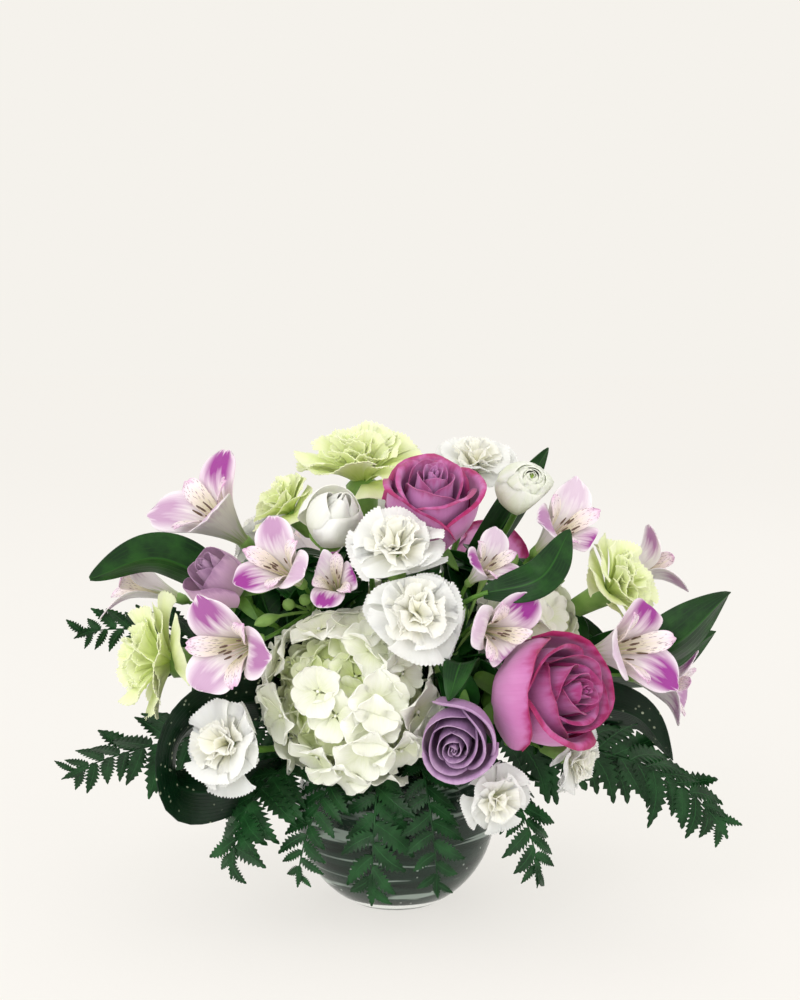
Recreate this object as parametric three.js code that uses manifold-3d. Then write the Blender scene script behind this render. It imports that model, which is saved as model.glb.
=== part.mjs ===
// A low table centerpiece: cut flowers, fern and leaves standing in wet floral foam, in a clear
// glass bubble bowl lined with a leaf. Millimetres, +Z up, -Y is the front. The origin is the
// middle of the bowl's flat foot.
import * as THREE from "three";
import { mergeVertices } from "three/addons/utils/BufferGeometryUtils.js";
import Module from "manifold-3d";

const wasm = await Module();
wasm.setup();
const { Manifold } = wasm;

// ---------------------------------------------------------------- driving dimensions
const BOWL = { radius: 65, middle: 58, rim: 104, wall: 3.5, floor: 7, sides: 24 };
const LINING = { thickness: 1, clear: 1, top: 94, sides: 16 };
const FOAM = { radius: 36, foot: 28, low: 9.6, top: 156, sides: 12 };
const HUB = new THREE.Vector3(0, 0, 120); // the stems point at this spot inside the foam
const STEM = { start: 24, apart: 15.5, short: 60 }; // mm from the hub; degrees; mm
const GAP = 0.35; // between pieces that touch on the real thing
const HOLE_GAP = 0.75; // a stem's hole is this much wider at its corners
const CELL_GAP = 1.6; // what a bloom's cell keeps of the way to its neighbour, with half a petal
const PRESS = 0.8; // the share of its cell that a bloom fills before it is pressed
const PETAL = 0.8; // petal thickness
const LEAF = 0.9; // leaf thickness
const FROND = 0.8; // fern thickness
const LAYER = 2.4; // between the bases of two rings of petals
const CALYX = 0.34; // how far a carnation's calyx reaches below its petals, as a share of its width
const MOPHEAD_DEPTH = 0.8; // a mophead's height against its width
const FROND_RIB = 1.2; // half the width of a frond's rib
const RAD = Math.PI / 180;
const UP = new THREE.Vector3(0, 0, 1);

const COLOURS = {
  glass: { color: 0xdfe8e4, roughness: 0.05, transparent: true, opacity: 0.35 },
  aspidistra: { color: 0x16301f, roughness: 0.35 },
  foam: { color: 0x3f6b3a, roughness: 0.95 },
  stem: { color: 0x5f8a35, roughness: 0.5 },
  rose_pink: { color: 0xb4598f, roughness: 0.55 },
  rose_lavender: { color: 0x8d5f92, roughness: 0.55 },
  rose_mauve: { color: 0xa8829e, roughness: 0.55 },
  carnation_white: { color: 0xf4f4ee, roughness: 0.6 },
  carnation_green: { color: 0xdbe8a0, roughness: 0.6 },
  ranunculus: { color: 0xe6eed0, roughness: 0.5 },
  alstroemeria: { color: 0xd9bdd6, roughness: 0.5 },
  hydrangea: { color: 0xedf0dc, roughness: 0.6 },
  fern: { color: 0x14391f, roughness: 0.5 },
  leaf: { color: 0x1f5a22, roughness: 0.4 },
};

// ---------------------------------------------------------------- solids from meshes
/** A closed three.js geometry as a manifold-3d solid. */
function solid(geometry) {
  const bare = geometry.index ? geometry.toNonIndexed() : geometry.clone();
  for (const name of Object.keys(bare.attributes)) {
    if (name !== "position") bare.deleteAttribute(name);
  }
  const merged = mergeVertices(bare, 1e-3);
  const made = new Manifold(
    new wasm.Mesh({
      numProp: 3,
      vertProperties: merged.attributes.position.array,
      triVerts: new Uint32Array(merged.index.array),
    }),
  );
  return made;
}

/** A solid as a three.js geometry. */
function geometryOf(body) {
  const mesh = body.getMesh();
  const geometry = new THREE.BufferGeometry();
  geometry.setAttribute("position", new THREE.BufferAttribute(mesh.vertProperties, 3));
  geometry.setIndex(new THREE.BufferAttribute(mesh.triVerts, 1));
  geometry.computeVertexNormals();
  return geometry;
}

/** Points and triangles as a solid, turned right way out. */
function closed(points, faces) {
  const geometry = new THREE.BufferGeometry().setFromPoints(points);
  geometry.setIndex(faces.flat());
  const made = solid(geometry);
  if (made.volume() > 0) return made;
  geometry.setIndex(faces.map(([a, b, c]) => [a, c, b]).flat());
  return solid(geometry);
}

// ---------------------------------------------------------------- blades, plates and stems
/** The triangles of a wall between a rim and its copy `under` places on. */
function wall(rim, under) {
  return rim.flatMap((a, k) => {
    const b = rim[(k + 1) % rim.length];
    return [
      [a, under + a, b],
      [b, under + a, under + b],
    ];
  });
}

/** A plate: a middle sheet given thickness along its normals, split alike on both faces. */
function plate(middle, normals, lid, rim, thickness) {
  const points = [0.5, -0.5].flatMap((side) =>
    middle.map((at, i) => at.clone().addScaledVector(normals[i], side * thickness)),
  );
  const under = middle.length;
  const back = lid.map(([a, b, c]) => [under + a, under + c, under + b]);
  return closed(points, [...lid, ...back, ...wall(rim, under)]);
}

/** A thin curved blade about surface(u, v), u from -1 to 1 across and v from 0 to 1 along. */
function blade(surface, across, along, thickness) {
  const step = 0.02;
  const row = across + 1;
  const middle = [];
  const normals = [];
  for (let j = 0; j <= along; j++) {
    for (let i = 0; i <= across; i++) {
      const u = (2 * i) / across - 1;
      const v = j / along;
      const du = surface(u + step, v).sub(surface(u - step, v));
      const dv = surface(u, Math.min(1, v + step)).sub(surface(u, Math.max(0, v - step)));
      middle.push(surface(u, v));
      normals.push(du.cross(dv).normalize());
    }
  }
  const lid = [];
  for (let j = 0; j < along; j++) {
    for (let i = 0; i < across; i++) {
      const a = j * row + i;
      lid.push([a, a + 1, a + row + 1], [a, a + row + 1, a + row]);
    }
  }
  const rim = [];
  for (let i = 0; i < across; i++) rim.push(i);
  for (let j = 0; j < along; j++) rim.push(j * row + across);
  for (let i = across; i > 0; i--) rim.push(along * row + i);
  for (let j = along; j > 0; j--) rim.push(j * row);
  return plate(middle, normals, lid, rim, thickness);
}

/** A pleated plate: a square in the middle, ringed by `count` points, rimPoint(angle, i). */
function ruffle(corner, rimPoint, count, thickness) {
  const corners = [0, 1, 2, 3].map((i) => corner((Math.PI / 2) * i));
  const rim = Array.from({ length: count }, (_, i) => rimPoint((2 * Math.PI * i) / count, i));
  const owner = (i) => Math.round((4 * i) / count) % 4;
  const centre = corners[0].clone().add(corners[2]).multiplyScalar(0.5);
  const outward = (ring) => (at, i) => {
    const along = ring[(i + 1) % ring.length].clone().sub(ring[(i + ring.length - 1) % ring.length]);
    return at.clone().sub(centre).cross(along).normalize();
  };
  const lid = [
    [0, 1, 2],
    [0, 2, 3],
  ];
  rim.forEach((_, i) => {
    const next = (i + 1) % count;
    lid.push([owner(i), 4 + i, 4 + next]);
    if (owner(next) !== owner(i)) lid.push([owner(i), 4 + next, owner(next)]);
  });
  const normals = [...corners.map(outward(corners)), ...rim.map(outward(rim))];
  return plate([...corners, ...rim], normals, lid, rim.map((_, i) => 4 + i), thickness);
}

/** A small four-petalled floret: a square of notches with a broad petal on each side. */
function floretPlate(notch, tip, thickness) {
  const lid = [
    [0, 3, 6],
    [0, 6, 9],
  ];
  const points = [0, 1, 2, 3].flatMap((k) => {
    lid.push([3 * k, 3 * k + 1, 3 * k + 2], [3 * k, 3 * k + 2, (3 * k + 3) % 12]);
    const start = 90 * k;
    return [notch(start * RAD), tip((start + 24) * RAD), tip((start + 66) * RAD)];
  });
  const across = points[6].clone().sub(points[0]).cross(points[9].clone().sub(points[3])).normalize();
  const rim = points.map((_, i) => i);
  return plate(points, points.map(() => across), lid, rim, thickness);
}

/** The way out of a surface's inner face at (u, v), for u along the ring and v out of it. */
function inwardAt(surface, u, v) {
  const step = 0.02;
  const du = surface(u + step, v).sub(surface(u - step, v));
  const dv = surface(u, Math.min(1, v + step)).sub(surface(u, Math.max(0, v - step)));
  return dv.cross(du).normalize();
}

/** A ring of petals that grow from one flat base. Each petal is a surface(u, v) whose v = 0 is an
 * edge of the base; a broad petal has a blunt tip, a slim one a pointed tip. */
function crown(petals, { slim = false, rows = 2, thickness = PETAL } = {}) {
  const columns = slim ? [-1, 1] : [-1, 0, 1];
  const points = [];
  const normals = [];
  const lid = [];
  const rim = [];
  const put = (at, normal) => normals.push(normal) && points.push(at) - 1;
  const feet = petals.map((surface) => [surface(-1, 0), surface(1, 0)]);
  const [first, ...others] = [feet[0][0], feet[0][1], feet[petals.length - 1][0]];
  const [along, across] = others.map((foot) => foot.clone().sub(first));
  const axis = along.cross(across).normalize();
  petals.forEach((surface, k) => {
    const corner = (u, foot) => {
      const between = inwardAt(surface, u, 0).add(axis).normalize();
      return put(foot, between.divideScalar(Math.max(0.6, between.dot(axis))));
    };
    let row = [corner(-1, feet[k][0]), corner(1, feet[k][1])];
    const left = [row[0]];
    const right = [row[1]];
    for (let j = 1; j <= rows; j++) {
      const v = j / rows;
      const pointed = slim && j === rows;
      const next = (pointed ? [0] : columns).map((u) => put(surface(u, v), inwardAt(surface, u, v)));
      lid.push(...band(row, next));
      left.push(next[0]);
      if (j < rows) right.unshift(next[next.length - 1]);
      row = next;
    }
    rim.push(...left, ...row.slice(1), ...right);
  });
  const base = petals.flatMap((_, k) => {
    const each = points.length / petals.length;
    return [k * each, k * each + 1];
  });
  for (let i = 1; i < base.length - 1; i++) lid.push([base[0], base[i], base[i + 1]]);
  return plate(points, normals, lid, rim, thickness);
}

/** The triangles between two rows of points, the first nearer the base. */
function band(row, next) {
  if (row.length === next.length) {
    return row.slice(1).flatMap((b, i) => [
      [row[i], next[i], next[i + 1]],
      [row[i], next[i + 1], b],
    ]);
  }
  if (next.length === 3) {
    return [
      [row[0], next[0], next[1]],
      [row[0], next[1], row[1]],
      [row[1], next[1], next[2]],
    ];
  }
  return row.slice(1).map((b, i) => [row[i], next[0], b]);
}

/** A tube along a curve, with few sides. */
function tube(curve, radius, steps, sides) {
  const section = new THREE.Shape();
  for (let i = 0; i < sides; i++) {
    const angle = (2 * Math.PI * i) / sides;
    section[i ? "lineTo" : "moveTo"](radius * Math.cos(angle), radius * Math.sin(angle));
  }
  return solid(new THREE.ExtrudeGeometry(section, { steps, extrudePath: curve, bevelEnabled: false }));
}

/** A closed turned shape about +Z from a profile of [radius, height] points, each point shaped. */
function turned(profile, sides, shape = (point) => point) {
  const points = profile.map(([r, z]) => new THREE.Vector2(r, z));
  const geometry = new THREE.LatheGeometry(points, sides).rotateX(Math.PI / 2);
  const at = geometry.attributes.position;
  for (let i = 0; i < at.count; i++) {
    at.setXYZ(i, ...shape(new THREE.Vector3().fromBufferAttribute(at, i)).toArray());
  }
  const made = solid(geometry);
  if (made.volume() > 0) return made;
  const turnedOut = geometry.toNonIndexed();
  const flipped = turnedOut.attributes.position;
  for (let i = 0; i < flipped.count; i += 3) {
    const first = new THREE.Vector3().fromBufferAttribute(flipped, i);
    const last = new THREE.Vector3().fromBufferAttribute(flipped, i + 2);
    flipped.setXYZ(i, last.x, last.y, last.z);
    flipped.setXYZ(i + 2, first.x, first.y, first.z);
  }
  return solid(turnedOut);
}

const polar = (r, angle, z) => new THREE.Vector3(r * Math.cos(angle), r * Math.sin(angle), z);
const vector = ([x, y, z]) => new THREE.Vector3(x, y, z);

// ---------------------------------------------------------------- the bowl, its lining and the foam
const ballRadius = (radius, z) => Math.sqrt(radius ** 2 - (z - BOWL.middle) ** 2);

/** A round shell's profile between two angles above the bowl's middle, from low to high. */
function arc(radius, from, to, steps) {
  return Array.from({ length: steps + 1 }, (_, i) => {
    const angle = from + ((to - from) * i) / steps;
    return [radius * Math.cos(angle), BOWL.middle + radius * Math.sin(angle)];
  });
}

const angleAt = (radius, z) => Math.asin((z - BOWL.middle) / radius);
const INSIDE = BOWL.radius - BOWL.wall;
const INSIDE_FROM = angleAt(INSIDE, BOWL.floor);
const INSIDE_TO = angleAt(INSIDE, LINING.top);

function bowl() {
  const { radius, wall, floor, rim, sides } = BOWL;
  const outside = arc(radius, angleAt(radius, 0), angleAt(radius, rim), 6);
  const inside = arc(INSIDE, INSIDE_FROM, INSIDE_TO, 4).reverse();
  const lip = [ballRadius(radius - wall / 2, rim), rim + wall / 2];
  const neck = [ballRadius(INSIDE, rim), rim];
  return turned([[0, 0], ...outside, lip, neck, ...inside, [0, floor]], sides);
}

function lining() {
  const { clear, thickness, sides } = LINING;
  const outside = arc(INSIDE - clear, INSIDE_FROM, INSIDE_TO, 4);
  const inside = arc(INSIDE - clear - thickness, INSIDE_FROM, INSIDE_TO, 4).reverse();
  return turned([[0, outside[0][1]], ...outside, ...inside, [0, inside[4][1]]], sides);
}

function foamBlock() {
  const { radius, foot, low, top, sides } = FOAM;
  const profile = [
    [0, low],
    [foot, low],
    [radius, low + 14],
    [radius, top - 14],
    [radius - 7, top - 4],
    [radius - 18, top],
    [0, top],
  ];
  return turned(profile, sides);
}

// ---------------------------------------------------------------- flowers
// Each is made in its own frame, +Z out of its face, and `shape` carries a point of that frame
// to its place in the arrangement, pressed by the neighbours.

/** A rose: a furled heart in rings of cupped petals, the outer ones rolled back. */
function rose(across, shape, { rings = [2, 3, 4], open = 1 } = {}) {
  const height = across * 0.82;
  const crowns = rings.map((count, ring) => {
    const share = (ring + 1) / rings.length;
    const reach = across * (0.14 + 0.28 * share);
    const span = (150 / count + 14) * RAD;
    const roll = share === 1 ? across * 0.09 * open : 0;
    const low = PETAL / 2 + LAYER * (rings.length - 1 - ring);
    const high = height * (1.02 - 0.12 * share);
    const petals = Array.from({ length: count }, (_, k) => (u, v) => {
      const angle = (360 / count) * (k + 0.4 * ring) * RAD + u * span * (0.6 + 0.4 * Math.sin(v * 2));
      const belly = Math.sin(Math.min(1, 0.22 + v * 0.95) * 90 * RAD);
      const r = reach * belly + roll * v ** 4 + u * across * 0.03 * v;
      return shape(polar(r, angle, low + v * (high - low) * (1 - 0.1 * u * u * v)));
    });
    return crown(petals);
  });
  const heart = [
    [0, 0.3],
    [across * 0.04, 0.3],
    [across * 0.08, height * 0.6],
    [across * 0.03, height * 0.93],
    [0, height * 0.93],
  ];
  return [turned(heart, 5, shape), ...crowns];
}

/** The green cup under a flower with its pointed sepals, kept clear below the petals. */
function sepals(radius, length, count, shape) {
  const low = -2 * GAP;
  const star = low - LEAF / 2;
  const cup = [
    [0, -radius * 1.5],
    [radius * 0.4, -radius * 1.5],
    [radius * 0.7, -radius * 0.7],
    [radius * 0.5, star],
    [0, star],
  ];
  const leaves = Array.from({ length: count }, (_, k) => (u, v) => {
    const angle = (360 / count) * k * RAD;
    const half = radius * 0.42;
    const middle = polar(radius * 0.75 + length * v, angle, star - length * 0.3 * v * v);
    return shape(middle.add(polar(half * u, angle + 90 * RAD, 0)));
  });
  return [turned(cup, 5, shape), crown(leaves, { slim: true, rows: 1, thickness: LEAF })];
}

/** A carnation: pleated, toothed ruffles standing ever steeper round the middle, on a calyx. */
function carnation(across, shape, { layers = 3, teeth = 14 } = {}) {
  const ruffles = Array.from({ length: layers }, (_, k) => {
    const share = k / (layers - 1);
    const lift = (5 + 60 * share) * RAD;
    const reach = across * (0.5 - 0.14 * share);
    const seat = across * (0.03 + 0.13 * share);
    const rimPoint = (angle, i) => {
      const out = i % 2;
      const length = reach * (out ? 1 : 0.93) * (1 + 0.06 * Math.cos(5 * angle + 1.3 * k));
      const wave = across * 0.04 * (out ? 1 : -1);
      return shape(polar(length * Math.cos(lift), angle, seat + length * Math.sin(lift) + wave));
    };
    const corner = (angle) => shape(polar(across * 0.12, angle, seat));
    return ruffle(corner, rimPoint, teeth - 2 * k, PETAL);
  });
  const core = [
    [0, -across * CALYX],
    [across * 0.06, -across * CALYX],
    [across * 0.1, -across * 0.1],
    [across * 0.06, across * 0.14],
    [0, across * 0.32],
  ];
  return [turned(core, 4, shape), ...ruffles];
}

/** A ranunculus: a tight ball wrapped in two rings of round petals. */
function ranunculus(across, shape, { pointed = false } = {}) {
  const height = across * (pointed ? 1.05 : 0.82);
  const top = pointed ? 1 : 0.84;
  const heart = [
    [0, 0.3],
    [across * 0.08, 0.3],
    [across * 0.1, height * 0.14],
    [across * 0.29, height * 0.42],
    [across * 0.23, height * 0.76],
    [across * 0.08, height * top],
    [0, height * top],
  ];
  const wraps = [0, 1].map((ring) => {
    const low = PETAL / 2 + LAYER * (1 - ring);
    const tall = ring ? 0.7 : 0.9;
    const petals = Array.from({ length: 3 }, (_, k) => (u, v) => {
      const angle = (120 * k + 60 * ring + 56 * u * (0.6 + 0.4 * Math.sin(2.2 * v))) * RAD;
      const bow = Math.sin((0.14 + 0.6 * v * tall) * Math.PI);
      const r = across * (0.43 + 0.07 * ring) * bow + u * across * 0.02 * v;
      return shape(polar(r, angle, low + height * tall * v * (1 - 0.1 * u * u)));
    });
    return crown(petals);
  });
  return [turned(heart, 6, shape), ...wraps];
}

/** One alstroemeria flower: a funnel of three broad outer tepals and three narrow inner ones. */
function alstroemeria(across, shape, { open = 1 } = {}) {
  const length = across * 0.95;
  const funnel = [false, true].map((inner) => {
    const width = across * (inner ? 0.15 : 0.26);
    const reach = across * (inner ? 0.3 : 0.46) * open;
    const low = across * 0.02 + (inner ? LAYER : 0);
    const rise = length * (inner ? 1.02 : 0.86);
    const tepals = [0, 1, 2].map((k) => (u, v) => {
      const angle = (120 * k + (inner ? 60 : 0)) * RAD;
      const half = width * (0.12 + 0.88 * Math.sin(Math.PI * 0.62 * v));
      const t = v * (1 - 0.16 * u * u * v);
      const r = across * 0.05 + reach * t ** 1.4 - 0.1 * half * u * u;
      const z = low + rise * t * (1.3 - 0.3 * t);
      return shape(polar(r, angle, z).add(polar(half * u, angle + 90 * RAD, 0)));
    });
    return crown(tepals, { slim: inner });
  });
  const knob = [
    [0, -across * 0.12],
    [across * 0.04, -across * 0.1],
    [across * 0.04, across * 0.02 + LAYER],
    [0, across * 0.02 + LAYER],
  ];
  return [turned(knob, 4, shape), ...funnel];
}

/** A mophead hydrangea: a small core covered in four-petalled florets set on a spiral. */
function hydrangea(across, shape, { florets = 20, floret = 38, cover = 0.8 } = {}) {
  const radius = across * 0.5;
  const deep = MOPHEAD_DEPTH;
  const core = [
    [0, -radius * 0.3 * deep],
    [radius * 0.4, -radius * 0.26 * deep],
    [radius * 0.74, radius * 0.08],
    [radius * 0.62, radius * 0.5 * deep],
    [radius * 0.3, radius * 0.72 * deep],
    [0, radius * 0.78 * deep],
  ];
  const seats = Array.from({ length: florets }, (_, k) => {
    const height = 1 - cover * 1.6 * ((k + 0.5) / florets);
    const ring = Math.sqrt(1 - height ** 2);
    const out = polar(ring, k * 137.5 * RAD, height);
    const seat = new THREE.Vector3(out.x, out.y, out.z * deep).multiplyScalar(0.72 * radius);
    const rise = radius * (k % 2 ? 0.2 : 0.1);
    return { out, seat, rise, middle: seat.clone().addScaledVector(out, rise), radius: floret / 2 };
  });
  const blooms = seats.flatMap((row, k) => {
    const own = standing(row.seat, row.out, 31 * k);
    const press = presser(row, seats);
    const put = (point) => shape(press(point.applyMatrix4(own)));
    const petals = floretPlate(
      (angle) => put(polar(0.16 * floret, angle, row.rise - 1.5)),
      (angle) => put(polar(0.5 * floret, angle, row.rise + 1)),
      PETAL,
    );
    const stalk = [
      [0, -3],
      [1.6, -3],
      [1.6, row.rise - 1.5],
      [0, row.rise - 1.5],
    ];
    return [petals, turned(stalk, 3, put)];
  });
  return [turned(core, 7, shape), ...blooms];
}

// Of each kind: how deep its head is and how far its stem ends below it, as shares of its width,
// the stem's radius, and the cup's radius, the sepals' length and their count for a kind whose
// green is its own piece.
const KINDS = {
  rose: { make: rose, depth: 0.82, foot: 0.22, stem: 2.4, green: [0.17, 0.34, 5] },
  carnation: { make: carnation, depth: 0.4, foot: CALYX, stem: 2 },
  ranunculus: { make: ranunculus, depth: 0.82, foot: 0, stem: 2 },
  alstroemeria: { make: alstroemeria, depth: 0.95, foot: 0.1, stem: 1.3 },
  hydrangea: { make: hydrangea, depth: MOPHEAD_DEPTH / 2, foot: 0.09, stem: 3 },
};

// ---------------------------------------------------------------- placing
/** The unit vector that a thing faces: turned from the front towards +X, tilted above level. */
function facing(turn, tilt) {
  const level = Math.cos(tilt * RAD);
  const [x, y] = [Math.sin(turn * RAD), -Math.cos(turn * RAD)];
  return new THREE.Vector3(x * level, y * level, Math.sin(tilt * RAD));
}

/** The matrix that stands a flower's own frame (+Z out of its face) at a seat, facing a way. */
function standing(seat, out, spin = 0) {
  const side = UP.clone().cross(out);
  if (side.length() < 0.05) side.set(1, 0, 0);
  side.normalize();
  const turn = new THREE.Matrix4().makeRotationZ(spin * RAD);
  return new THREE.Matrix4().makeBasis(side, out.clone().cross(side), out).setPosition(seat).multiply(turn);
}

/** The planes that part a bloom's cell from its neighbours': each a normal and its distance. */
function cellWalls(bloom, blooms) {
  return blooms
    .filter((other) => other !== bloom)
    .map((other) => {
      const way = other.middle.clone().sub(bloom.middle);
      const apart = way.length();
      const share = (apart ** 2 + bloom.radius ** 2 - other.radius ** 2) / (2 * apart);
      return { normal: way.normalize(), limit: share - CELL_GAP / 2 };
    });
}

/** Draws a point in towards a bloom's middle where it would leave the bloom's cell. */
function presser(bloom, blooms) {
  const walls = cellWalls(bloom, blooms);
  return (point) => {
    const way = point.clone().sub(bloom.middle);
    const r = way.length();
    const room = Math.min(
      ...walls.map(({ normal, limit }) => limit / Math.max(0.01, normal.dot(way) / (r || 1))),
    );
    const free = PRESS * room;
    if (r <= free) return point;
    const kept = free + (room - free) * (1 - Math.exp((free - r) / (room - free)));
    return bloom.middle.clone().addScaledVector(way, kept / r);
  };
}

/** The same ways, nudged apart until no two are closer than STEM.apart degrees. */
function spread(ways) {
  const apart = STEM.apart * RAD;
  for (let round = 0; round < 200; round++) {
    ways.forEach((one, i) => {
      ways.slice(i + 1).forEach((other) => {
        const lack = apart - one.angleTo(other);
        if (lack <= 0) return;
        const push = one.clone().sub(other).setLength(0.3 * lack);
        one.add(push).normalize();
        other.sub(push).normalize();
      });
    });
  }
}

/** Places by (v, y, h): v along a curve, y sideways and h out of the face, rolled about it. */
function ribFrame(curve, roll = 0) {
  const level = curve.getPoint(1).sub(curve.getPoint(0)).setZ(0).cross(UP).normalize();
  const length = curve.getLength();
  return (v, y, h = 0) => {
    const t = Math.min(1, Math.max(0, v));
    const way = curve.getTangent(t);
    const side = level.clone().addScaledVector(way, -level.dot(way)).normalize();
    side.applyAxisAngle(way, roll * RAD);
    const at = curve.getPoint(t).addScaledVector(way, (v - t) * length);
    return at.addScaledVector(side, y).addScaledVector(side.clone().cross(way), h);
  };
}

// ---------------------------------------------------------------- leaves and fronds
/** A pointed leaf along a curve, folded a little along its rib. */
function leafBlade(curve, width, { roll = 0, fold = 0.3, steps = 4, blunt = 0.1 } = {}) {
  const place = ribFrame(curve, roll);
  const surface = (u, v) => {
    const swell = Math.max(0, Math.sin(Math.PI * (0.06 + 0.9 * v)));
    const half = (width / 2) * (blunt + (1 - blunt) * swell ** 0.8);
    return place(v, half * u, fold * half * Math.abs(u));
  };
  return blade(surface, 2, steps, LEAF);
}

/** The corners of one pinna, as [v, y], toothed on both edges, from its foot back to the rib. */
function pinna(k, { pairs, width, bare = 0.12 }, length, share) {
  const pitch = (1 - bare) / (pairs + 0.4);
  const foot = bare + k * pitch;
  const reach = (width / 2) * Math.sin(Math.PI * (0.3 + 0.62 * (k / pairs))) * share;
  const lean = (0.42 * reach) / length;
  return [
    [foot, FROND_RIB],
    [foot + 0.25 * lean + 0.02 * pitch, 0.5 * reach],
    [foot + lean, reach],
    [foot + 0.6 * lean + 0.5 * pitch, 0.6 * reach],
    [foot + 0.8 * pitch, FROND_RIB],
  ];
}
const fan = (first) => [1, 2, 3].map((i) => [first, first + i, first + i + 1]);

/** A fern frond: one thin plate of rib and pinnae. reachOf(side, k) is each pinna's 0 to 1. */
function frond(row, reachOf) {
  const { line, pairs, roll } = row;
  const length = line.getLength();
  const sides = [1, -1].map((side) => [
    [0, FROND_RIB],
    ...Array.from({ length: pairs }, (_, k) => pinna(k, row, length, reachOf(side, k))).flat(),
    [1, 0.5],
  ]);
  const points = [...sides[0], ...sides[1].map(([v, y]) => [v, -y])];
  const count = sides[0].length;
  const feet = Array.from({ length: pairs }, (_, k) => [1 + 5 * k, 5 + 5 * k]).flat();
  const stations = [0, ...feet, count - 1];
  const strip = stations.slice(1).flatMap((next, i) => {
    const last = stations[i];
    return [
      [last, next, count + next],
      [last, count + next, count + last],
    ];
  });
  const pinnae = Array.from({ length: pairs }, (_, k) => [
    ...fan(1 + 5 * k),
    ...fan(count + 1 + 5 * k).map(([a, b, c]) => [a, c, b]),
  ]).flat();
  const there = Array.from({ length: count }, (_, i) => i);
  const rim = [...there, ...there.map((i) => 2 * count - 1 - i)];
  return sheet(points, ribFrame(line, roll), [...strip, ...pinnae], rim);
}

/** A frond's plate from [v, y] points, drooping a little to both sides. */
function sheet(points, place, lid, rim) {
  const middle = points.map(([v, y]) => place(v, y, -0.006 * y * y));
  const normals = points.map(([v]) => place(v, 0, 1).sub(place(v, 0, 0)));
  return plate(middle, normals, lid, rim, FROND);
}

/** One pinna alone, to try whether it is clear. */
function lonePinna(row, side, k, share) {
  const points = pinna(k, row, row.line.getLength(), share).map(([v, y]) => [v, side * y]);
  return sheet(points, ribFrame(row.line, row.roll), fan(0), [0, 1, 2, 3, 4]);
}

// ---------------------------------------------------------------- the arrangement
// Flowers: name, kind, colour, middle in mm, degrees turned from the front towards +X, degrees
// tilted above level, width in mm and what differs from its kind.
const FLOWERS = [
  ["rose_large", "rose", "rose_pink", [91, -106, 158], 42, 14, 83, { rings: [3, 4, 5] }],
  ["rose_lavender", "rose", "rose_lavender", [36, -125, 136], -8, -6, 54, { open: 0.6 }],
  ["rose_top", "rose", "rose_pink", [21, -60, 266], 12, 56, 68],
  ["rose_mauve", "rose", "rose_mauve", [-107, -64, 220], -48, 40, 46, { rings: [2, 3], open: 0.3 }],
  ["rose_back", "rose", "rose_pink", [62, 100, 205], 150, 24, 64],
  ["rose_back_left", "rose", "rose_lavender", [-98, 82, 168], -132, 12, 52, { rings: [2, 3], open: 0.6 }],
  ["hydrangea_front", "hydrangea", "hydrangea", [-32, -92, 151], -14, 4, 116, { florets: 15, floret: 47, cover: 0.54 }],
  ["hydrangea_right", "hydrangea", "hydrangea", [88, -52, 192], 36, 20, 66, { florets: 6, floret: 36, cover: 0.5 }],
  ["hydrangea_back", "hydrangea", "hydrangea", [-2, 98, 150], 180, 4, 100, { florets: 7, floret: 52, cover: 0.62 }],
  ["carnation_white_centre", "carnation", "carnation_white", [13, -113, 209], 8, 22, 67],
  ["carnation_white_upper", "carnation", "carnation_white", [1, -97, 247], 0, 46, 66],
  ["carnation_white_left", "carnation", "carnation_white", [-102, -104, 128], -32, 18, 64],
  ["carnation_white_top", "carnation", "carnation_white", [52, 22, 286], 20, 66, 60],
  ["carnation_white_low", "carnation", "carnation_white", [112, -76, 110], 60, -14, 50],
  ["carnation_mini", "carnation", "carnation_white", [60, -120, 98], 22, -8, 45],
  ["carnation_green_top", "carnation", "carnation_green", [-22, 2, 288], -10, 74, 94, { teeth: 18 }],
  ["carnation_green_low", "carnation", "carnation_green", [-72, -22, 262], -62, 44, 58],
  ["carnation_green_left", "carnation", "carnation_green", [-155, -38, 164], -72, 6, 88, { teeth: 18 }],
  ["carnation_green_right", "carnation", "carnation_green", [143, -34, 213], 58, 30, 76, { teeth: 18 }],
  ["carnation_white_back", "carnation", "carnation_white", [-6, 92, 238], 176, 40, 62],
  ["carnation_green_back", "carnation", "carnation_green", [112, 88, 148], 128, 4, 66],
  ["carnation_white_back_left", "carnation", "carnation_white", [-90, 62, 232], -128, 38, 56],
  ["ranunculus", "ranunculus", "ranunculus", [82, -30, 272], 14, 40, 40],
  ["white_bud", "ranunculus", "ranunculus", [-38, -68, 254], 30, 52, 36, { pointed: true }],
].map(([name, kind, colour, at, turn, tilt, across, options]) => {
  return { name, kind, colour, at, turn, tilt, across, ...options };
});

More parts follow.
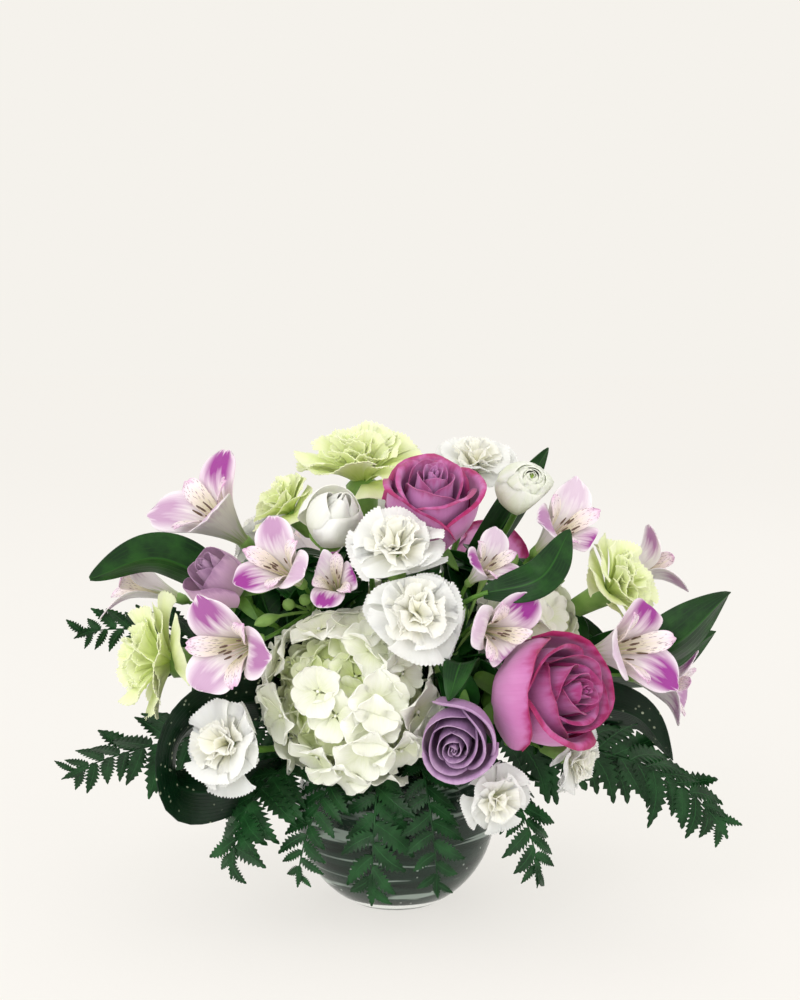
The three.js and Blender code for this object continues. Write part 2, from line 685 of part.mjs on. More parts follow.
// A spray of alstroemeria: its flowers stand on short stalks from the top of one stem. Name, fork
// in mm, then each flower's middle, turn, tilt and width.
const SPRAYS = [
  ["alstroemeria_top_left", [-74, -8, 208], [[[-116, -10, 254], -48, 40, 70]]],
  [
    "alstroemeria_left",
    [-54, -42, 198],
    [
      [[-94, -106, 186], -26, 2, 62],
      [[-68, -84, 230], -30, 30, 52],
      [[-36, -88, 222], -6, 30, 40],
    ],
  ],
  ["alstroemeria_centre", [36, -68, 176], [[[60, -106, 195], 26, 4, 53], [[55, -86, 231], 40, 36, 40]]],
  ["alstroemeria_upper_right", [62, -22, 200], [[[104, -32, 246], 40, 36, 57]]],
  [
    "alstroemeria_right",
    [96, -44, 150],
    [
      [[140, -70, 178], 44, 14, 64],
      [[172, -26, 146], 76, -10, 48],
    ],
  ],
  ["alstroemeria_far_left", [-106, 14, 172], [[[-166, 16, 204], -84, 22, 56]]],
  ["alstroemeria_far_right", [104, 8, 190], [[[164, 12, 216], 96, 30, 50]]],
  ["alstroemeria_back", [-42, 56, 196], [[[-58, 100, 214], -160, 22, 58]]],
].map(([name, fork, rows]) => {
  return { name, fork, flowers: rows.map(([at, turn, tilt, across]) => ({ at, turn, tilt, across })) };
});

// Leaves: name, points of the midrib from root to tip in mm, width and what differs.
const LEAVES = [
  ["leaf_left", [[-100, -22, 202], [-148, -32, 228], [-192, -26, 214]], 34, { roll: 60 }],
  ["leaf_spear", [[52, -100, 217], [84, -108, 227], [104, -82, 252]], 22, { roll: 60 }],
  ["leaf_hanging", [[42, -84, 164], [38, -116, 178], [31, -132, 160]], 20],
  ["leaf_right", [[120, -16, 164], [170, -26, 169], [214, -8, 202]], 44, { roll: -60 }],
  ["leaf_right_low", [[118, -8, 150], [168, -10, 152], [206, -4, 176]], 36, { roll: -60 }],
  ["leaf_top", [[42, 10, 206], [70, 5, 246], [98, 4, 294]], 24, { roll: -60 }],
  [
    "aspidistra_left",
    [[-54, -28, 128], [-94, -56, 142], [-130, -80, 124], [-130, -80, 95], [-100, -66, 90], [-66, -46, 103]],
    46,
    { steps: 9, roll: 60, colour: "aspidistra" },
  ],
  [
    "aspidistra_right",
    [[58, -16, 124], [104, -38, 134], [148, -60, 134], [170, -66, 108]],
    38,
    { steps: 5, roll: -60, colour: "aspidistra" },
  ],
].map(([name, curve, width, options]) => ({ name, curve, width, ...options }));

// Fern fronds: name, root, two bends and tip of the rib in mm, width, pairs of pinnae and the roll
// about the rib or the bare share of it.
const FRONDS = [
  ["fern_left_upper", [[-42, 2, 128], [-90, 14, 150], [-160, 20, 186], [-206, 4, 172]], 56, 6, { roll: 68 }],
  ["fern_left_lower", [[-40, -8, 112], [-100, -26, 122], [-160, -36, 112], [-208, -34, 90]], 62, 6, { roll: 64 }],
  ["fern_low_left", [[-30, -24, 110], [-70, -54, 108], [-98, -90, 90], [-98, -96, 46]], 60, 5, { bare: 0.25 }],
  ["fern_front_left", [[-20, -34, 110], [-38, -73, 103], [-56, -101, 78], [-58, -102, 42]], 42, 5, { bare: 0.25 }],
  ["fern_front", [[-7, -39, 111], [-9, -70, 114], [-14, -92, 76], [-14, -88, 26]], 50, 5, { bare: 0.3 }],
  ["fern_front_right", [[11, -38, 111], [17, -70, 114], [24, -96, 76], [26, -94, 32]], 40, 5, { bare: 0.3 }],
  ["fern_low_right", [[27, -30, 111], [62, -62, 112], [84, -88, 86], [86, -96, 40]], 52, 5, { bare: 0.25 }],
  ["fern_right", [[40, -8, 111], [100, -18, 106], [172, -36, 112], [206, -48, 56]], 70, 7, { roll: -62 }],
  ["fern_back_left", [[-34, 22, 112], [-90, 62, 122], [-136, 92, 104], [-160, 104, 62]], 60, 5],
  ["fern_back_right", [[34, 22, 112], [90, 66, 122], [134, 98, 102], [154, 112, 62]], 60, 5],
].map(([name, curve, width, pairs, options]) => ({ name, curve, width, pairs, ...options }));

// ---------------------------------------------------------------- growing it all
/** A flower's place worked out: its face, its seat, its frame, its middle and its stem's end. */
function placed(flower) {
  const kind = KINDS[flower.kind ?? "alstroemeria"];
  const out = facing(flower.turn, flower.tilt);
  const middle = vector(flower.at);
  const seat = middle.clone().addScaledVector(out, (-kind.depth * flower.across) / 2);
  const frame = standing(seat, out, flower.turn + 20);
  return { ...flower, kind, out, middle, seat, frame, radius: flower.across / 2 };
}

const flowers = FLOWERS.map(placed);
const sprays = SPRAYS.map((spray) => ({ ...spray, flowers: spray.flowers.map(placed) }));
const blooms = [...flowers, ...sprays.flatMap((spray) => spray.flowers)];

/** Where a bloom's stem or stalk ends: `above` its foot, which is pressed as the bloom is. */
function footOf(bloom, above) {
  const { seat, out, kind, across } = bloom;
  const foot = presser(bloom, blooms)(seat.clone().addScaledVector(out, -kind.foot * across));
  return foot.addScaledVector(out, above);
}

/** A bloom's petals and core, pressed into its cell, and its sepals where they are a piece. */
function growBloom(bloom) {
  const { frame, across } = bloom;
  const press = presser(bloom, blooms);
  const home = frame.clone().invert();
  const shape = (point) => {
    const there = point.clone().applyMatrix4(frame);
    const kept = press(there);
    return kept === there ? point : kept.applyMatrix4(home);
  };
  const stood = (parts) => Manifold.union(parts).transform(frame.elements);
  const head = stood(bloom.kind.make(across, shape, bloom));
  const { green } = bloom.kind;
  if (!green) return { head };
  const [radius, length, count] = green;
  return { head, cup: stood(sepals(radius * across, length * across, count, shape)) };
}

const leaves = LEAVES.map((row) => {
  return { ...row, line: new THREE.CatmullRomCurve3(row.curve.map(vector)) };
});
const fronds = FRONDS.map((row) => {
  return { ...row, line: new THREE.CubicBezierCurve3(...row.curve.map(vector)) };
});

/** The end of the stem of a leaf or frond, a little way along its rib. */
function ribEnd({ name, line }, share) {
  return { name, end: line.getPoint(share), out: line.getTangent(0), radius: 1.4 };
}

// Every stem: where it ends, the way it arrives there and its radius.
const stemRows = [
  ...flowers.map((bloom) => {
    return { name: bloom.name, end: footOf(bloom, 3), out: bloom.out, radius: bloom.kind.stem };
  }),
  ...sprays.map(({ name, fork }) => {
    return { name, end: vector(fork), out: vector(fork).sub(HUB).normalize(), radius: 2 };
  }),
  ...leaves.map((leaf) => ribEnd(leaf, 0.04)),
  ...fronds.map((row) => ribEnd(row, 0.06)),
];
const ways = stemRows.map(({ end }) => end.clone().sub(HUB).normalize());
spread(ways);

/** A stem from its start in the foam to its end, or the `wider` plain hole that it stands in. */
function growStem({ end, out, radius }, way, wider = 0) {
  const start = HUB.clone().addScaledVector(way, STEM.start);
  const length = end.distanceTo(start);
  const bend = end.clone().addScaledVector(out, -0.3 * length);
  start.addScaledVector(bend.clone().sub(start).normalize(), -wider);
  const line = new THREE.QuadraticBezierCurve3(start, bend, end);
  return tube(line, radius + wider, length < STEM.short ? 1 : 3, radius < 2.2 ? 3 : 4);
}

const stems = new Map(stemRows.map((row, i) => [row.name, growStem(row, ways[i])]));
const holes = stemRows.map((row, i) => growStem(row, ways[i], HOLE_GAP));

const glassBowl = bowl();
const leafLining = lining();
const foam = foamBlock().subtract(Manifold.union(holes));

const pieces = [];
const add = (name, body, colour) => pieces.push({ name, body, colour, box: body.boundingBox() });

add("glass_bowl", glassBowl, "glass");
add("leaf_lining", leafLining, "aspidistra");
add("foam_block", foam, "foam");

for (const bloom of flowers) {
  const { name, colour } = bloom;
  const { head, cup } = growBloom(bloom);
  if (cup) {
    add(`${name}_head`, head, colour);
    add(`${name}_stem`, cup.add(stems.get(name)), "stem");
  } else {
    add(name, head.add(stems.get(name)), colour);
  }
}

for (const { name, fork, flowers: heads } of sprays) {
  const node = vector(fork).addScaledVector(HUB.clone().sub(vector(fork)).normalize(), 3);
  const parts = heads.flatMap((bloom) => {
    const stalk = new THREE.QuadraticBezierCurve3(node, footOf(bloom, -10), footOf(bloom, 2));
    return [growBloom(bloom).head, tube(stalk, bloom.kind.stem, 2, 4)];
  });
  add(name, Manifold.union([stems.get(name), ...parts]), "alstroemeria");
}

/** Whether a body keeps its gap from every piece that stands already and every other stem. */
function isClear(body, name) {
  const box = body.boundingBox();
  const near = (other) =>
    [0, 1, 2].every((i) => other.min[i] < box.max[i] + GAP && other.max[i] > box.min[i] - GAP);
  return (
    pieces.every((piece) => !near(piece.box) || body.minGap(piece.body, 1) > GAP) &&
    [...stems].every(([owner, stem]) => owner === name || body.minGap(stem, 1) > GAP)
  );
}

for (const { name, line, width, colour = "leaf", ...options } of leaves) {
  const clear = (share) => isClear(leafBlade(line, share * width, options), name);
  const share = [1, 0.85, 0.7].find(clear) ?? 0.55;
  const body = leafBlade(line, share * width, options).add(stems.get(name));
  add(name, body, colour);
}

for (const row of fronds) {
  const reachOf = (side, k) =>
    [1, 0.8, 0.6, 0.4].find((share) => isClear(lonePinna(row, side, k, share), row.name)) ?? 0.25;
  add(row.name, frond(row, reachOf).add(stems.get(row.name)), "fern");
}

// ---------------------------------------------------------------- the group
const centerpiece = new THREE.Group();
centerpiece.name = "floral_centerpiece";
for (const { name, body, colour } of pieces) {
  const mesh = new THREE.Mesh(geometryOf(body), new THREE.MeshStandardMaterial(COLOURS[colour]));
  mesh.name = name;
  centerpiece.add(mesh);
}

export default centerpiece;
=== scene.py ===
"""Looks of a floral table centerpiece: cut flowers, fern and leaves in a lined glass bubble bowl.

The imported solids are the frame. Every flower, leaf and frond is replaced by a finer one that grows
from the same places, in millimetres, and is turned to metres when its mesh is written.
"""

from __future__ import annotations

import logging
import math
from collections.abc import Callable
from dataclasses import dataclass, field
from enum import Enum, auto
from typing import ClassVar

import bpy
import numpy as np
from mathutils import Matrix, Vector

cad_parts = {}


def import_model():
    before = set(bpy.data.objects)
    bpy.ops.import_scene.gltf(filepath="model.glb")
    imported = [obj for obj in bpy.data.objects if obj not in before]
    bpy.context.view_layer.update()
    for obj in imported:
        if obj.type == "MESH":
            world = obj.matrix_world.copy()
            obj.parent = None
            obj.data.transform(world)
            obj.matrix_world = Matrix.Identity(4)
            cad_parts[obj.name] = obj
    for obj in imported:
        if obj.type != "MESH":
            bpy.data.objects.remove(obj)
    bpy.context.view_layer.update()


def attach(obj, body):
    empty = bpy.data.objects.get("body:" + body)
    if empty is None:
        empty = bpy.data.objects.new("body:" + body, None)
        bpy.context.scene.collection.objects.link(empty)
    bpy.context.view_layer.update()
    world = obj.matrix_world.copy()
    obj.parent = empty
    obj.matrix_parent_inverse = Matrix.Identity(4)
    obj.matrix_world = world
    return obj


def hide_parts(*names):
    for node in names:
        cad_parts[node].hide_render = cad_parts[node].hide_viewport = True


LOG = logging.getLogger("centerpiece")

MM = 0.001  # metres in a millimetre
GOLDEN = math.radians(137.5)  # the turn from one petal or floret to the next
UP = np.array([0.0, 0.0, 1.0])

# Sizes that the solids have too, in mm, degrees and shares.
HUB = np.array([0.0, 0.0, 120.0])  # the stems point at this spot inside the foam
STEM_START = 24.0  # from the hub
STEM_APART = 15.5  # degrees between two stems
CELL_GAP = 0.9  # what a bloom's cell keeps of the way to its neighbour
PRESS = 0.8  # the share of its cell that a bloom fills before it is pressed
FROND_RIB = 1.2

# Where added leaves and buds may stand, in mm.
LEAF_LOWEST, LEAF_FARTHEST = 108, 160
BUD_LOWEST, BUD_NEAREST, BUD_FARTHEST = 150, 95, 150
BUDS_MOST, BUD_TRIES = 4, 120


class Kind(Enum):
    """The kinds of flower in the bowl, apart from the alstroemerias."""

    PINK_ROSE = auto()
    LILAC_ROSE = auto()
    LAVENDER_ROSE = auto()
    MAUVE_ROSE = auto()
    HYDRANGEA = auto()
    WHITE_CARNATION = auto()
    GREEN_CARNATION = auto()
    RANUNCULUS = auto()
    BUD = auto()


# Flowers: name, kind, middle, degrees turned from the front towards +X, degrees tilted above
# level, width and what differs from its kind.
FLOWERS = [
    ("rose_large", Kind.PINK_ROSE, (91, -106, 158), 42, 14, 83, {"petals": 20}),
    ("rose_lavender", Kind.LAVENDER_ROSE, (36, -125, 136), -8, -6, 54, {"petals": 17, "opened": 0.8}),
    ("rose_top", Kind.LILAC_ROSE, (21, -60, 266), 12, 56, 68, {"petals": 19}),
    ("rose_mauve", Kind.MAUVE_ROSE, (-107, -64, 220), -48, 40, 46, {"petals": 11, "opened": 0.25}),
    ("rose_back", Kind.PINK_ROSE, (62, 100, 205), 150, 24, 64, {"petals": 20}),
    ("rose_back_left", Kind.LAVENDER_ROSE, (-98, 82, 168), -132, 12, 52, {"petals": 17, "opened": 0.8}),
    ("hydrangea_front", Kind.HYDRANGEA, (-32, -92, 151), -14, 4, 116, {"florets": 27, "floret": 45}),
    ("hydrangea_right", Kind.HYDRANGEA, (88, -52, 192), 36, 20, 66, {"florets": 12, "floret": 36}),
    ("hydrangea_back", Kind.HYDRANGEA, (-2, 98, 150), 180, 4, 100, {"florets": 24, "floret": 42}),
    ("carnation_white_centre", Kind.WHITE_CARNATION, (13, -113, 209), 8, 22, 67, {}),
    ("carnation_white_upper", Kind.WHITE_CARNATION, (1, -97, 247), 0, 46, 66, {}),
    ("carnation_white_left", Kind.WHITE_CARNATION, (-102, -104, 128), -32, 18, 64, {}),
    ("carnation_white_top", Kind.WHITE_CARNATION, (52, 22, 286), 20, 66, 60, {}),
    ("carnation_white_low", Kind.WHITE_CARNATION, (112, -76, 110), 60, -14, 50, {}),
    ("carnation_mini", Kind.WHITE_CARNATION, (60, -120, 98), 22, -8, 45, {"petals": 10}),
    ("carnation_green_top", Kind.GREEN_CARNATION, (-22, 2, 288), -10, 74, 94, {"petals": 17}),
    ("carnation_green_low", Kind.GREEN_CARNATION, (-72, -22, 262), -62, 44, 58, {}),
    ("carnation_green_left", Kind.GREEN_CARNATION, (-155, -38, 164), -72, 6, 88, {"petals": 16}),
    ("carnation_green_right", Kind.GREEN_CARNATION, (143, -34, 213), 58, 30, 76, {"petals": 15}),
    ("carnation_white_back", Kind.WHITE_CARNATION, (-6, 92, 238), 176, 40, 62, {}),
    ("carnation_green_back", Kind.GREEN_CARNATION, (112, 88, 148), 128, 4, 66, {}),
    ("carnation_white_back_left", Kind.WHITE_CARNATION, (-90, 62, 232), -128, 38, 56, {}),
    ("ranunculus", Kind.RANUNCULUS, (82, -30, 272), 14, 40, 40, {}),
    ("white_bud", Kind.BUD, (-38, -68, 254), 30, 52, 36, {}),
]

# Sprays of alstroemeria: name, fork, then each flower's middle, turn, tilt and width.
SPRAYS = [
    ("alstroemeria_top_left", (-74, -8, 208), [((-116, -10, 254), -48, 40, 70)]),
    ("alstroemeria_left", (-54, -42, 198), [
        ((-94, -106, 186), -26, 2, 62), ((-68, -84, 230), -30, 30, 52), ((-36, -88, 222), -6, 30, 40),
    ]),
    ("alstroemeria_centre", (36, -68, 176), [((60, -106, 195), 26, 4, 53), ((55, -86, 231), 40, 36, 40)]),
    ("alstroemeria_upper_right", (62, -22, 200), [((104, -32, 246), 40, 36, 57)]),
    ("alstroemeria_right", (96, -44, 150), [((140, -70, 178), 44, 14, 64), ((172, -26, 146), 76, -10, 48)]),
    ("alstroemeria_far_left", (-106, 14, 172), [((-166, 16, 204), -84, 22, 56)]),
    ("alstroemeria_far_right", (104, 8, 190), [((164, 12, 216), 96, 30, 50)]),
    ("alstroemeria_back", (-42, 56, 196), [((-58, 100, 214), -160, 22, 58)]),
]

# Leaves: name, points of the midrib from root to tip, width and what differs.
LEAVES = [
    ("leaf_left", [(-100, -22, 202), (-148, -32, 228), (-192, -26, 214)], 34, {"roll": 60}),
    ("leaf_spear", [(52, -100, 217), (84, -108, 227), (104, -82, 252)], 22, {"roll": 60}),
    ("leaf_hanging", [(42, -84, 164), (38, -116, 178), (31, -132, 160)], 20, {}),
    ("leaf_right", [(120, -16, 164), (170, -26, 169), (214, -8, 202)], 44, {"roll": -60}),
    ("leaf_right_low", [(118, -8, 150), (168, -10, 152), (206, -4, 176)], 36, {"roll": -60}),
    ("leaf_top", [(42, 10, 206), (70, 5, 246), (98, 4, 294)], 24, {"roll": -60}),
    ("aspidistra_left", [
        (-54, -28, 128), (-94, -56, 142), (-130, -80, 124),
        (-130, -80, 95), (-100, -66, 90), (-66, -46, 103),
    ], 46, {"roll": 60, "spotted": True}),
    ("aspidistra_right", [
        (58, -16, 124), (104, -38, 134), (148, -60, 134), (170, -66, 108),
    ], 38, {"roll": -60, "spotted": True}),
]

# Fronds: name, root, two bends and tip of the rib, width, the bare share of the rib and the roll
# about it.
FRONDS = [
    ("fern_left_upper", [(-42, 2, 128), (-90, 14, 150), (-160, 20, 186), (-206, 4, 172)], 56, 0.12, 68),
    ("fern_left_lower", [(-40, -8, 112), (-100, -26, 122), (-160, -36, 112), (-208, -34, 90)], 62, 0.12, 64),
    ("fern_low_left", [(-30, -24, 110), (-70, -54, 108), (-98, -90, 90), (-98, -96, 46)], 60, 0.25, 0),
    ("fern_front_left", [(-20, -34, 110), (-38, -73, 103), (-56, -101, 78), (-58, -102, 42)], 42, 0.25, 0),
    ("fern_front", [(-7, -39, 111), (-9, -70, 114), (-14, -92, 76), (-14, -88, 26)], 50, 0.3, 0),
    ("fern_front_right", [(11, -38, 111), (17, -70, 114), (24, -96, 76), (26, -94, 32)], 40, 0.3, 0),
    ("fern_low_right", [(27, -30, 111), (62, -62, 112), (84, -88, 86), (86, -96, 40)], 52, 0.25, 0),
    ("fern_right", [(40, -8, 111), (100, -18, 106), (172, -36, 112), (206, -48, 56)], 70, 0.12, -62),
    ("fern_back_left", [(-34, 22, 112), (-90, 62, 122), (-136, 92, 104), (-160, 104, 62)], 60, 0.12, 0),
    ("fern_back_right", [(34, 22, 112), (90, 66, 122), (134, 98, 102), (154, 112, 62)], 60, 0.12, 0),
]


# ---------------------------------------------------------------- shapes
@dataclass
class Shape:
    """Points and polygons, with where each point lies on its own petal or leaf.

    Args:
        points: (n, 3) places in mm.
        corners: the polygons' corners, one after another.
        starts: where each polygon's corners start.
        along: each point's share of the way from base to tip.
        across: each point's place from -1 to 1 across.
        tone: each point's own shade, alike over one petal, from 0 to 1.
        finish: each polygon's material index.
    """

    points: np.ndarray
    corners: np.ndarray
    starts: np.ndarray
    along: np.ndarray
    across: np.ndarray
    tone: np.ndarray
    finish: np.ndarray

    @classmethod
    def of(
        cls,
        points: np.ndarray,
        polygons: list[np.ndarray],
        along: np.ndarray,
        across: np.ndarray,
        tone: np.ndarray | float = 0.5,
        finish: int = 0,
    ) -> Shape:
        """Makes a shape from arrays of polygons, each array with one number of corners.

        Args:
            points: (n, 3) places in mm.
            polygons: integer arrays of shape (m, corners).
            along: n shares.
            across: n places.
            tone: n shades, or one for all.
            finish: the material index of every polygon.

        Returns:
            The shape.
        """
        counts = np.concatenate([np.full(len(p), p.shape[1]) for p in polygons])
        return cls(
            points, np.concatenate([p.ravel() for p in polygons]),
            np.concatenate([[0], np.cumsum(counts)[:-1]]), np.broadcast_to(along, len(points)),
            np.broadcast_to(across, len(points)), np.broadcast_to(tone, len(points)),
            np.full(len(counts), finish),
        )

    @classmethod
    def join(cls, shapes: list[Shape]) -> Shape:
        """Puts several shapes into one.

        Args:
            shapes: the shapes, in order.

        Returns:
            One shape.
        """
        firsts = np.cumsum([0] + [len(s.points) for s in shapes])
        corners = np.cumsum([0] + [len(s.corners) for s in shapes])
        return cls(
            np.concatenate([s.points for s in shapes]),
            np.concatenate([s.corners + first for s, first in zip(shapes, firsts)]),
            np.concatenate([s.starts + first for s, first in zip(shapes, corners)]),
            np.concatenate([s.along for s in shapes]), np.concatenate([s.across for s in shapes]),
            np.concatenate([s.tone for s in shapes]), np.concatenate([s.finish for s in shapes]),
        )

    def placed(self, place: Callable[[np.ndarray], np.ndarray]) -> Shape:
        """This shape with its points passed through `place`, a function of (n, 3) points."""
        return Shape(
            place(self.points), self.corners, self.starts, self.along, self.across, self.tone,
            self.finish,
        )

    def mesh(self, name: str, scale: float = 1.0) -> bpy.types.Mesh:
        """Writes a Blender mesh.

        Args:
            name: the mesh's name.
            scale: what a unit of this shape measures in the mesh.

        Returns:
            The mesh, smooth but for its sharp rims.
        """
        mesh = bpy.data.meshes.new(name)
        mesh.vertices.add(len(self.points))
        mesh.vertices.foreach_set("co", (self.points * scale).astype(np.float32).ravel())
        mesh.loops.add(len(self.corners))
        mesh.loops.foreach_set("vertex_index", self.corners.astype(np.int32))
        mesh.polygons.add(len(self.starts))
        mesh.polygons.foreach_set("loop_start", self.starts.astype(np.int32))
        mesh.polygons.foreach_set("material_index", self.finish.astype(np.int32))
        mesh.update(calc_edges=True)
        for key in ("along", "across", "tone"):
            values = mesh.attributes.new(key, "FLOAT", "POINT")
            values.data.foreach_set("value", getattr(self, key).astype(np.float32))
        mesh.shade_smooth()
        mesh.set_sharp_from_angle(angle=math.radians(70))
        return mesh

    @classmethod
    def read(cls, mesh: bpy.types.Mesh, finish: int) -> Shape:
        """Reads a shape back from a mesh that Geometry Nodes made.

        Args:
            mesh: a mesh with the point attributes along, across and perhaps tone.
            finish: the material index to give its polygons.

        Returns:
            The shape.
        """
        points = np.zeros(len(mesh.vertices) * 3, np.float32)
        mesh.vertices.foreach_get("co", points)
        corners = np.zeros(len(mesh.loops), np.int32)
        mesh.loops.foreach_get("vertex_index", corners)
        starts = np.zeros(len(mesh.polygons), np.int32)
        mesh.polygons.foreach_get("loop_start", starts)
        values = {}
        for key in ("along", "across", "tone"):
            values[key] = np.full(len(mesh.vertices), 0.5, np.float32)
            if key in mesh.attributes:
                mesh.attributes[key].data.foreach_get("value", values[key])
        return cls(
            points.reshape(-1, 3).astype(float), corners, starts, values["along"], values["across"],
            values["tone"], np.full(len(starts), finish),
        )


def unit(vectors: np.ndarray) -> np.ndarray:
    """Vectors of length 1."""
    return vectors / np.maximum(np.linalg.norm(vectors, axis=-1, keepdims=True), 1e-9)


def sheets(
    grids: np.ndarray,
    thickness: np.ndarray | float,
    tone: np.ndarray | float = 0.5,
    finish: int = 0,
) -> Shape:
    """Gives thin sheets their thickness and closes them.

    Args:
        grids: (sheets, rows, columns, 3) places, rows from base to tip.
        thickness: mm, for all points or for each.
        tone: each sheet's shade.
        finish: the material index.

    Returns:
        The closed sheets as one shape.
    """
    count, rows, columns, _ = grids.shape
    normals = unit(np.cross(np.gradient(grids, axis=2), np.gradient(grids, axis=1)))
    half = 0.5 * np.broadcast_to(thickness, grids.shape[:3])[..., None] * normals
    points = np.stack([grids + half, grids - half], axis=1).reshape(-1, 3)
    cell = rows * columns
    index = np.arange(cell).reshape(rows, columns)
    lid = np.stack([index[:-1, :-1], index[:-1, 1:], index[1:, 1:], index[1:, :-1]], -1)
    lid = lid.reshape(-1, 4)
    ring = np.concatenate([index[0, :-1], index[:-1, -1], index[-1, :0:-1], index[:0:-1, 0]])
    after = np.roll(ring, -1)
    rim = np.stack([ring + cell, after + cell, after, ring], -1)
    one = np.concatenate([lid, lid[:, ::-1] + cell, rim])
    polygons = (one[None] + (2 * cell * np.arange(count))[:, None, None]).reshape(-1, 4)
    v, u = np.meshgrid(np.linspace(0, 1, rows), np.linspace(-1, 1, columns), indexing="ij")
    tones = np.repeat(np.broadcast_to(tone, count), 2 * cell)
    along = np.tile(v.ravel(), 2 * count)
    across = np.tile(u.ravel(), 2 * count)
    return Shape.of(points, [polygons], along, across, tones, finish)


def turned(profile: list[tuple[float, float]], sides: int, finish: int = 0) -> Shape:
    """A closed turned shape about +Z.

    Args:
        profile: (radius, height) from one point on the axis to another, low to high outside.
        sides: how many sides it has.
        finish: the material index.

    Returns:
        The shape; along runs over the profile.
    """
    rings = np.array(profile[1:-1])
    angle = 2 * math.pi * np.arange(sides) / sides
    around = np.stack([np.cos(angle), np.sin(angle)], -1)
    heights = np.broadcast_to(rings[:, None, 1:], (len(rings), sides, 1))
    body = np.concatenate([rings[:, None, :1] * around[None], heights], -1).reshape(-1, 3)
    points = np.concatenate([[[0, 0, profile[0][1]]], body, [[0, 0, profile[-1][1]]]])
    index = 1 + np.arange(len(rings) * sides).reshape(len(rings), sides)
    beside = np.roll(index, -1, axis=1)
    quads = np.stack([index[:-1], beside[:-1], beside[1:], index[1:]], -1).reshape(-1, 4)
    foot = np.stack([np.zeros(sides, int), beside[0], index[0]], -1)
    head = np.stack([np.full(sides, len(points) - 1), index[-1], beside[-1]], -1)
    share = np.repeat(np.linspace(0, 1, len(rings)), sides)
    along = np.concatenate([[0], share, [1]])
    across = np.concatenate([[0], np.tile(np.linspace(-1, 1, sides), len(rings)), [0]])
    return Shape.of(points, [quads, foot, head], along, across, 0.5, finish)


def tube(line: np.ndarray, radii: np.ndarray | float, sides: int = 8, finish: int = 0) -> Shape:
    """A closed round stalk along a line of points.

    Args:
        line: (n, 3) places in mm.
        radii: one radius, or one for each point.
        sides: how many sides it has.
        finish: the material index.

    Returns:
        The shape; along runs down the line.
    """
    way = unit(np.gradient(line, axis=0))
    first = np.cross(way[0], UP if abs(way[0][2]) < 0.9 else [1.0, 0, 0])
    side = unit(first[None] - (way @ first)[:, None] * way)
    other = np.cross(way, side)
    angle = 2 * math.pi * np.arange(sides) / sides
    reach = np.broadcast_to(radii, len(line))[:, None, None]
    ring = np.cos(angle)[None, :, None] * side[:, None] + np.sin(angle)[None, :, None] * other[:, None]
    points = np.concatenate([[line[0]], (line[:, None] + reach * ring).reshape(-1, 3), [line[-1]]])
    index = 1 + np.arange(len(line) * sides).reshape(len(line), sides)
    beside = np.roll(index, -1, axis=1)
    quads = np.stack([index[:-1], beside[:-1], beside[1:], index[1:]], -1).reshape(-1, 4)
    foot = np.stack([np.zeros(sides, int), beside[0], index[0]], -1)
    head = np.stack([np.full(sides, len(points) - 1), index[-1], beside[-1]], -1)
    along = np.concatenate([[0], np.repeat(np.linspace(0, 1, len(line)), sides), [1]])
    across = np.concatenate([[0], np.tile(np.linspace(-1, 1, sides), len(line)), [0]])
    return Shape.of(points, [quads, foot, head], along, across, 0.5, finish)


def bezier(points: list[np.ndarray], steps: int) -> np.ndarray:
    """Points along a Bezier curve with three or four control points.

    Args:
        points: the control points in mm.
        steps: how many steps to take.

    Returns:
        (steps + 1, 3) places.
    """
    t = np.linspace(0, 1, steps + 1)[:, None]
    if len(points) == 3:
        a, b, c = points
        return (1 - t) ** 2 * a + 2 * (1 - t) * t * b + t**2 * c
    a, b, c, d = points
    return (1 - t) ** 3 * a + 3 * (1 - t) ** 2 * t * b + 3 * (1 - t) * t**2 * c + t**3 * d


def smooth_line(points: list[tuple[float, float, float]], steps: int) -> np.ndarray:
    """Points along a centripetal Catmull-Rom curve through the given points.

    Args:
        points: places in mm.
        steps: how many even steps to take.

    Returns:
        (steps + 1, 3) places.
    """
    p = np.array(points, float)
    p = np.concatenate([[2 * p[0] - p[1]], p, [2 * p[-1] - p[-2]]])
    found = []
    for i in range(len(p) - 3):
        a, b, c, d = p[i : i + 4]
        gaps = [np.linalg.norm(y - x) ** 0.5 for x, y in ((a, b), (b, c), (c, d))]
        start = (b - a) / gaps[0] - (c - a) / (gaps[0] + gaps[1]) + (c - b) / gaps[1]
        end = (c - b) / gaps[1] - (d - b) / (gaps[1] + gaps[2]) + (d - c) / gaps[2]
        t = np.linspace(0, 1, 25)[:, None]
        start, end = start * gaps[1], end * gaps[1]
        found.append(
            (2 * t**3 - 3 * t**2 + 1) * b
            + (t**3 - 2 * t**2 + t) * start
            + (3 * t**2 - 2 * t**3) * c
            + (t**3 - t**2) * end
        )
    line = np.concatenate([found[0], *[f[1:] for f in found[1:]]])
    run = np.concatenate([[0], np.cumsum(np.linalg.norm(np.diff(line, axis=0), axis=1))])
    at = np.linspace(0, run[-1], steps + 1)
    return np.stack([np.interp(at, run, line[:, k]) for k in range(3)], -1)


# ---------------------------------------------------------------- finishes
MATH, MIX, RAMP, RANGE = "ShaderNodeMath", "ShaderNodeMix", "ShaderNodeValToRGB", "ShaderNodeMapRange"
NOISE, CELLS, BUMP = "ShaderNodeTexNoise", "ShaderNodeTexVoronoi", "ShaderNodeBump"
XYZ, VECTOR, OWN = "ShaderNodeCombineXYZ", "ShaderNodeVectorMath", "ShaderNodeAttribute"


def linear(sheet: str) -> tuple[float, float, float, float]:
    """Turns an sRGB hex value into Blender's linear colour."""
    parts = [int(sheet[i : i + 2], 16) / 255 for i in (0, 2, 4)]
    return (*[c / 12.92 if c <= 0.04045 else ((c + 0.055) / 1.055) ** 2.4 for c in parts], 1.0)


